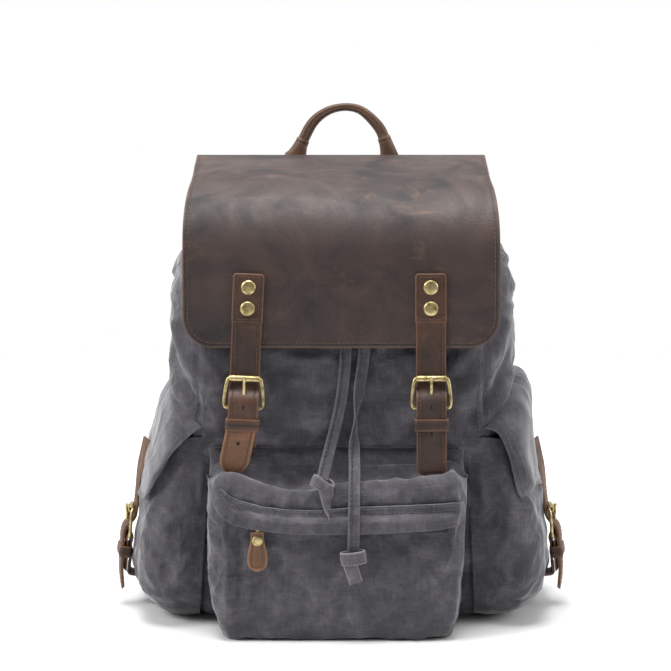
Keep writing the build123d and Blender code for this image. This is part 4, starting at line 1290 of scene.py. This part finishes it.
def zip_parts():
    """Under the cover: two cloth tapes edged with brass teeth, and the runner with its leather pull."""
    bm = new_mesh()
    for sign in (-1, 1):
        def place(u, v, sign=sign):
            x = -78.0 + 172.0 * u
            z = 106.0 + sign * (1.4 + 7.5 * v)
            return pocket_face(x, z) + Vector((0, -0.6, 0))
        sheet(bm, 100, 4, (172.0, 7.5), place, lambda u, v: v * 7.5)
    finish("zip_cloth_tapes", bm, "bag", [ZIP_CLOTH], thick=0.7, side=0.0, weld=0, replaces=["zip_tapes"])
    bm = new_mesh()
    for number in range(86):
        for sign in (-1, 1):
            x = -77.0 + 2.0 * number + (1.0 if sign > 0 else 0.0)
            tooth = bmesh.ops.create_cube(bm, size=1.0)["verts"]
            bmesh.ops.scale(bm, vec=(1.1, 1.2, 2.6), verts=tooth)
            bmesh.ops.translate(bm, vec=pocket_face(x, 106.0) + Vector((0, -1.0, sign * 0.75)), verts=tooth)
    finish("zip_brass_teeth", bm, "bag", [BRASS], weld=0, round_edge=0.25, replaces=["zip_teeth"])
    zip_pull()


def zip_pull():
    """The runner's leather pull hangs before it: a tongue that widens to a round end."""
    x, y, z = -73.0, -131.8, 98.4
    bm = new_mesh()
    run = Run((0, 0, 1.5), (0, 0.2, -8), (0, 0.0, -20), (0, -1.2, -33))
    round_from = 26.0

    def half_width(v):
        reach = v * run.length
        half = 5.4 + 3.2 * smooth((reach - 4) / 20)
        if reach > round_from:
            half *= sqrt(max(1 - ((reach - round_from) / (run.length - round_from)) ** 2.4, 0.0)) * 0.97 + 0.03
        return half

    def tab(u, v):
        point = run.at(v)[0]
        return Vector((half_width(v) * (2 * u - 1), point.y - 0.5 * (1 - (2 * u - 1) ** 2), point.z))
    sheet(bm, 16, 40, (17.0, 36.0), tab, lambda u, v: min(min(u, 1 - u) * 16, (1 - v) * 36, v * 36))
    put(bm, Matrix.Translation((x, y, z)))
    leather("zip_pull_leather", bm, "zip_pull", [PALE_HIDE, CUT_EDGE], 2.2, replaces=["pull_tab"])
    bm = new_mesh()
    for sign in (-1, 1):
        points = []
        for i in range(41):
            v = 0.36 + 0.58 * i / 40
            half = half_width(v)
            points.append(tab(0.5 + sign * max(half - 2.3, 0) / half / 2, v) + Vector((0, -1.25, 0)))
        stitch_row(bm, points, Vector((0, -1, 0)), length=2.2, gap=0.9, thick=0.5)
    put(bm, Matrix.Translation((x, y, z)))
    thread("zip_pull_stitches", bm, "zip_pull")
    bm = new_mesh()
    spun_cap(bm, [(r * 0.72, h * 0.75) for r, h in CAP],
             Matrix.Translation((x, y - 1.5, z - 6.5)) @ Matrix.Rotation(pi / 2, 4, "X"))
    brass("zip_pull_rivet", bm, "zip_pull", ["pull_rivet"])


# ---------------------------------------------------------------- side pockets
# Height, how far out the pocket reaches and where its front is.
SIDE_LEVELS = [(1.0, 160.0, -54.0), (12.0, 173.5, -69.0), (28.0, 184.5, -79.0), (45.0, 187.0, -85.0),
               (90.0, 183.5, -87.5), (112.0, 180.5, -88.0), (135.0, 169.5, -88.5), (174.0, 159.0, -86.5)]
SIDE_FOLDS = [
    ((140, -88, 160), (132, -90, 96), 5.0, -2.8), ((152, -88, 148), (146, -90, 80), 4.5, 2.6),
    ((130, -88, 70), (160, -88, 28), 5.0, 2.4), ((170, -76, 90), (150, -90, 50), 6.0, -2.2),
    ((126, -86, 30), (150, -86, 12), 5.0, 2.0), ((182, -40, 60), (182, 20, 30), 8.0, 2.5),
    ((181, -50, 100), (182, 30, 70), 9.0, -2.0), ((180, 40, 130), (182, 20, 50), 7.0, -2.5),
    ((164, -84, 120), (176, -66, 70), 4.0, 2.2), ((122, -86, 150), (124, -88, 110), 4.0, 2.0),
]


def side_section(u, z, sign):
    """The right pocket's outside, from its front seam round the corner to its back seam."""
    for low, high in zip(SIDE_LEVELS, SIDE_LEVELS[1:]):
        if z <= high[0] or high is SIDE_LEVELS[-1]:
            share = min(max((z - low[0]) / (high[0] - low[0]), 0), 1)
            out, front = (a + (b - a) * share for a, b in zip(low[1:], high[1:]))
            break
    # The front seam leans outwards towards the floor.
    top, spread = (111.0, 8.5) if sign > 0 else (115.0, 12.0)
    start = top + spread * (max(173 - z, 0) / 173) ** 1.3
    radius, back_radius, back, back_seam = 26.0, 16.0, 62.0, 147.0
    wide, deep = out - start - radius, back - front - radius - back_radius
    runs = [(wide, 0), (radius * pi / 2, radius), (deep, 0), (back_radius * pi / 2, back_radius),
            (out - back_radius - back_seam, 0)]
    x, y, left = walk((start, front), 0.0, runs, u)
    x -= 9.0 * smooth((-12 - y) / 52) * smooth((x - 130) / 40)
    return Vector((x, y, z)), Vector((-left[0], -left[1], 0))


def side_place(u, v, sign):
    """The cloth of a side pocket, drawn on the right; the left one is turned over afterwards."""
    z = 1.0 + (173.0 - 4.0 * smooth(u * 3)) * v
    point, out = side_section(u, z, sign)
    point -= out * 8.0 * (1 - smooth(z / 12.0)) ** 2
    slack = smooth(u / 0.08) * (1 - smooth((u - 0.9) / 0.1)) * (1 - 0.6 * smooth((z - 104) / 30))
    puff = 3.5 * sin(pi * min(max(v, 0), 1)) * sin(pi * min(u * 2.2, 1.0)) if u < 0.46 else 0.0
    point += out * (puff - 3.0 * (1 - slack) * (u < 0.5))
    seed = 31.0 if sign > 0 else 47.0
    point = crumple(point, out, 60.0, 5.0 * slack, seed, 0.5)
    point = crumple(point, out, 28.0, 3.6 * slack, seed + 3, 0.6)
    point = crumple(point, out, 13.0, 1.2 * slack, seed + 5)
    point = folded(point, out, SIDE_FOLDS if sign > 0 else SIDE_FOLDS[2:])
    point.z = max(point.z, 0.8)
    return point


# Rows run from the back to the front: along the seam on the bag, over the pocket's rim, down the drop, at the edge.
FLAP_ROWS = [
    [(150, 58, 206), (150, 20, 208), (150, -20, 208), (148, -52, 205), (139, -76, 194), (126, -86.5, 182)],
    [(162, 59, 206), (163, 20, 209), (162, -20, 208), (156, -58, 200), (146, -83, 188), (133, -90, 180)],
    [(169, 59, 194), (170, 20, 197), (169, -22, 195), (163, -64, 184), (154, -87, 173), (144, -91.5, 171)],
    [(170, 60, 165), (172, 20, 166), (170, -24, 164), (166, -66, 157), (161, -88, 150), (155, -92, 153)],
    [(175, 59, 137), (177, 18, 133), (175, -24, 132), (171, -62, 132), (168, -80, 131), (163.5, -88, 134)],
]
LEFT_HEM = [(180, 57, 116), (183, 16, 106), (180, -24, 106), (176, -52, 110), (174, -68, 114), (172.5, -76, 116)]
RIGHT_HEM = [(180, 57, 118), (182, 16, 112), (180, -24, 116), (175, -52, 123), (168, -70, 119), (161, -82, 114)]
# On the right the front edge hangs straighter and the corner is pulled in.
RIGHT_EDGE = [(126, -86.5, 181), (137, -90, 178), (146, -91.5, 160), (150.5, -92, 143), (155, -89.5, 125),
              (161, -82, 114)]


def lattice(rows):
    """A smooth sheet through rows of points; u runs along the rows and v across them."""
    lines = [Run(*row) for row in rows]

    def place(u, v):
        column = Run(*[line.at(u)[0] for line in lines])
        return column.at(v)[0]
    return place


def side_flap_place(sign):
    rows = FLAP_ROWS + [LEFT_HEM]
    if sign > 0:
        rows = [row[:-1] + [end] for row, end in zip(FLAP_ROWS + [RIGHT_HEM], RIGHT_EDGE)]
    base = lattice(rows)
    cache = {}

    def place(u, v):
        key = (round(u, 4), round(v, 4))
        if key not in cache:
            point = base(u, v)
            if sign < 0:
                point.z -= 15.0 * smooth((point.x - 150) / 18) * (1 - smooth((v - 0.4) / 0.3))
                point.x -= (3.0 + 2.5 * smooth(v / 0.12)) * (1 - smooth((v - 0.2) / 0.35))
            out = Vector((1, 0, 0.3)).lerp(Vector((0.35, -1, 0.3)), smooth((u - 0.62) / 0.3)).normalized()
            free = smooth(v / 0.2)
            point = crumple(point, out, 46.0, 2.4 * free, 61.0 if sign > 0 else 77.0)
            cache[key] = crumple(point, out, 19.0, 1.0 * free, 5.0)
        return cache[key]
    return place


def mirror_left(bm, sign):
    if sign < 0:
        bmesh.ops.scale(bm, vec=(-1, 1, 1), verts=bm.verts)
        bmesh.ops.reverse_faces(bm, faces=bm.faces)


def side_pockets():
    for side, sign in SIDES.items():
        bm = new_mesh()
        sheet(bm, 170, 120, (210.0, 168.0), lambda u, v: side_place(u, v, sign),
              lambda u, v: min((1 - v) * 168, u * 210 + 1) + 0.3)
        mirror_left(bm, sign)
        canvas(f"{side}_side_pocket_cloth", bm, "bag", 1.5, [f"side_pocket_{side}"])
        place = side_flap_place(sign)
        body = f"side_flap_{side}"
        bm = new_mesh()
        sheet(bm, 110, 90, (190.0, 140.0), place,
              lambda u, v: min(u * 190, (1 - u) * 190, (1 - v) * 140) + 0.1)
        mirror_left(bm, sign)
        flap = canvas(f"{side}_pocket_flap_cloth", bm, None, 1.8, [f"flap_{side}"], side=1.0, round_edge=0.5)
        hinge = dict(start=(sign * 0.153, 0, 0.210), end=(sign * 0.160, 0, 0.207))
        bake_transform(flap, "bag", body, **hinge)
        bm = new_mesh()
        for inset in (0.03, 0.065):
            corners = [(inset, 0.03), (inset, 1 - inset), (1 - inset, 1 - inset), (1 - inset, 0.03)]
            for (a, b), (c, d) in zip(corners, corners[1:]):
                points = [place(a + (c - a) * k / 90, b + (d - b) * k / 90) for k in range(91)]
                stitch_row(bm, [p + (Vector((1, 0, 0)) if p.y > -70 else Vector((0.5, -0.86, 0))) * 2.0
                                for p in points], Vector((0.7, -0.7, 0)))
        mirror_left(bm, sign)
        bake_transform(thread(f"{side}_flap_stitches", bm, None, GREY_THREAD), "bag", body, **hinge)
        side_strap(side, sign, body)


def turn_head(bm):
    """The strap's sewn head faces a little further forwards than its buckle."""
    for vert in bm.verts:
        vert.co.rotate(Matrix.Rotation(radians(-8) * smooth((vert.co.z + 54) / 40), 3, "Z"))


def side_strap(side, sign, body):
    place_in = flap_frame(sign)
    width, roller_z = 20.0, -64.0
    heel_z = roller_z - BUCKLE_H
    bm = new_mesh()
    points = [(3.6, 0.0), (2.0, -14), (0.2, -30), (-0.4, roller_z + 3), (-1.8, roller_z - 8), (-8.4, heel_z + 9),
              (-9.9, heel_z), (-9.0, heel_z - 14), (-8.0, heel_z - 32), (-4.5, heel_z - 50.5)]
    place, run, half = strap_strip(bm, points, width, tip=12.0, across=10, along=120)
    turn_head(bm)
    put(bm, place_in)
    leather(f"{side}_flap_strap", bm, body, [SIDE_HIDE, CUT_EDGE], STRAP_T, replaces=[f"flap_strap_{side}"])
    bm = strap_stitching(place, half, run, 0.01, 0.975, inset=2.8)
    turn_head(bm)
    put(bm, place_in)
    thread(f"{side}_flap_strap_stitches", bm, body)
    bm = buckle_frame(width, roller_z)
    put(bm, place_in)
    brass(f"{side}_flap_buckle", bm, body, [f"flap_buckle_{side}"], weld=0.05)
    # The roller lies square to the bag, on its own axis.
    square, spot = flap_frame(sign, 0.0), Vector((0, BAR_Y, roller_z))
    square = Matrix.Translation(place_in @ spot - square @ spot) @ square
    roller_barrel(width, roller_z, square, f"{side}_flap_roller", f"side_roller_{side}", f"flap_roller_{side}")
    keeper_and_chape(body, place_in, width, heel_z, -122.0, f"flap_leathers_{side}", f"{side}_flap")


# ---------------------------------------------------------------- handle
def handle():
    """A strip of leather rolled into a grip, its two flat ends sewn behind the lid."""
    run = Run((-46, 0, 2), (-41, 0, 8), (-35.5, 0, 21), (-25.6, 0, 39), (-12.3, 0, 49.3), (3.6, 0, 53.0),
              (19, 0, 49.6), (34, 0, 35.5), (40.5, 0, 22.0), (44.5, 0, 8), (46, 0, 2))

    def girth(v):
        """Half the width seen from the front, and half the depth."""
        away = abs(v - 0.5) * 2
        foot = smooth((away - 0.70) / 0.28)
        return 3.6 + 1.5 * smooth(away / 0.6) + (4.2 if v < 0.5 else 2.6) * foot, 5.0 - 2.2 * foot

    def around(u, v, grow=0.0, fold=0.0):
        point, way = run.at(v)
        side = Vector((way.z, 0, -way.x)).normalized()
        wide, deep = girth(v)
        turn = tau * u
        return point + side * (wide + grow) * cos(turn) + Vector((0, -1, 0)) * ((deep + grow) * sin(turn) - fold)

    def roll(u, v):
        # The hide's two edges meet in a sewn line along the front.
        return around(u, v, fold=0.7 * exp(-((sin(tau * u) - 1) / 0.06) ** 2))
    bm = new_mesh()
    sheet(bm, 32, 150, (32.0, run.length), roll, lambda u, v: 2.5 + 6 * abs(sin(tau * u)))
    joined(bm, 0.02)
    capped(bm)
    # The outer layer is folded over and ends part of the way up each side.
    for start, step in (0.015, 0.15), (0.985, -0.15):
        sheet(bm, 28, 26, (34.0, 22.0), lambda u, v: around(u, start + step * v, 0.9), lambda u, v: (1 - v) * 22.0)
    put(bm, Matrix.Translation((0, 85.4, 391.0)) @ Matrix.Rotation(radians(-10), 4, "X"))
    finish("rolled_handle", bm, "carry_handle", [SIDE_HIDE], replaces=["handle"], outward=True)


# ---------------------------------------------------------------- back
def pad_shape(name, outline, depth, quilt, body, replaces):
    """A padded cushion from an outline function, crowned all round and quilted on its outer face."""
    bm = new_mesh()

    def place(u, v, front):
        point, out, edge = outline(u, v)
        crown = sqrt(max(1 - (1 - min(edge / 12.0, 1)) ** 2, 0))
        return point + out * (depth / 2 * crown + quilt(point, edge) if front else -depth / 2 * crown)
    for front in (True, False):
        sheet(bm, 70, 130, (60.0, 240.0), lambda u, v: place(u, v, front), lambda u, v: outline(u, v)[2] + 2)
    joined(bm)
    pad = finish(name, bm, body, [PAD_CLOTH], outward=True, replaces=replaces)


def back_pad():
    """Foam back pad under canvas, sewn through in three upright channels."""
    half, low, high, radius = 104.0, 57.0, 344.0, 40.0

    def outline(u, v):
        z = low + (high - low) * v
        rest = min(z - low, high - z)
        wide = half - corner_inset(radius, rest)
        x = wide * (2 * u - 1)
        return Vector((x, 85.0, z)), Vector((0, 1, 0)), max(min(wide - abs(x), rest), 0.0)

    def quilt(point, edge):
        lift = 0.0
        for x in (-38.0, 38.0):
            lift -= 2.6 * exp(-((point.x - x) / 3.5) ** 2) * smooth(edge / 14)
        lift += 1.6 * cos(point.x / 38.0 * pi) * 0.3 + 0.7 * noise.noise(point / 26)
        return lift * smooth(edge / 8)
    pad_shape("quilted_back_pad", outline, 10.0, quilt, "bag", ["back_pad"])


def shoulder_frame(sign):
    """A strap's own frame: it leans outwards from the yoke."""
    return (Matrix.Translation((sign * 46.0, 0, 366.0)) @ Matrix.Rotation(radians(-sign * 9.4), 4, "Y")
            @ Matrix.Translation((0, 0, -366.0)))


def shoulder_straps():
    run = Run((0, 100.0, 331.0), (0, 112.0, 300.0), (0, 117.5, 266.0), (0, 118.5, 232.0), (0, 117.0, 198.0),
              (0, 113.5, 166.0), (0, 105.5, 134.0))
    for side, sign in SIDES.items():
        body = f"shoulder_strap_{side}"
        place_in = shoulder_frame(sign)

        def outline(u, v):
            point, way = run.at(v)
            s = v * run.length
            rest = min(s, run.length - s)
            half = 27.5 - 2.5 * smooth((v - 0.6) / 0.4) - corner_inset(22.0, rest)
            x = half * (2 * u - 1)
            here = place_in @ Vector((x, point.y, point.z))
            return here, place_in.to_3x3() @ -front_of(way), max(min(half - abs(x), rest), 0.0)

        def quilt(point, edge):
            lift = -1.4 * exp(-((edge - 7.0) / 1.6) ** 2) + 0.6 * noise.noise(point / 22)
            return lift * smooth(edge / 3)
        pad_shape(f"{side}_shoulder_pad", outline, 9.5, quilt, body, [f"shoulder_pad_{side}"])
        bm = new_mesh()
        strap_strip(bm, [(91.4, 366.0), (92.6, 349.0), (99.0, 334.0), (107.0, 316.0)], 26.0, across=10, along=40)
        put(bm, place_in)
        leather(f"{side}_shoulder_tongue", bm, body, [STRAP_HIDE, CUT_EDGE], 2.2, round_edge=0.4)
        low = Vector((sign * 124.0, 87.4, 30.0))
        seat = place_in @ Vector((0, 100.2, 111.3))
        bm = new_mesh()
        tail = Run(seat + Vector((0, 5.5, 22)), seat + Vector((0, 3.6, 11)), seat + Vector((0, 2.6, 2)),
                   seat + Vector((0, -1.5, -6)), seat.lerp(low, 0.3) + Vector((0, -1.0, 0)), seat.lerp(low, 0.7), low,
                   low + (low - seat).normalized() * 9)
        band(bm, [tail.at(i / 60)[0] for i in range(61)], lambda s: Vector((0, 1, 0.1)), 25.0, 1.8)
        capped(bm)
        webbing = finish(f"{side}_lower_webbing", bm, None, [WEBBING], replaces=[f"webbing_{side}"])
        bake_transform(webbing, "bag", body, start=tuple(low / 1000), end=tuple(seat / 1000))


def leather_patches():
    """The yoke over the tops of the shoulder straps, and the tabs that keep their CAD shapes."""
    bm = new_mesh()

    def yoke(u, v):
        x = 76.0 * (2 * u - 1)
        return Vector((x, 84.2 + 0.4 * noise.noise(Vector((x / 20, v, 3))), 378.0 - 26.0 * v))
    sheet(bm, 60, 14, (152.0, 26.0), yoke, lambda u, v: min(min(u, 1 - u) * 152, min(v, 1 - v) * 26))
    leather("strap_yoke_leather", bm, "bag", [STRAP_HIDE, CUT_EDGE], 2.4, side=1.0, replaces=["strap_yoke"])
    for node in ("strap_anchor_tabs", "snap_tabs"):
        assign(node, INNER_HIDE)


def assign(node, material):
    """A CAD piece that keeps its shape takes a finish."""
    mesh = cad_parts[node].data
    mesh.materials.clear()
    mesh.materials.append(material)


canvas_bag()
back_panel()
lid()
strap_heads()
rivet_caps()
for side_name in SIDES:
    lid_strap(side_name)
front_pocket()
side_pockets()
handle()
back_pad()
shoulder_straps()
leather_patches()
for part in ("eyelets", "zip_slider", "prong_left", "prong_right", "flap_prong_left", "flap_prong_right",
             "adjuster_left", "adjuster_right"):
    assign(part, BRASS)
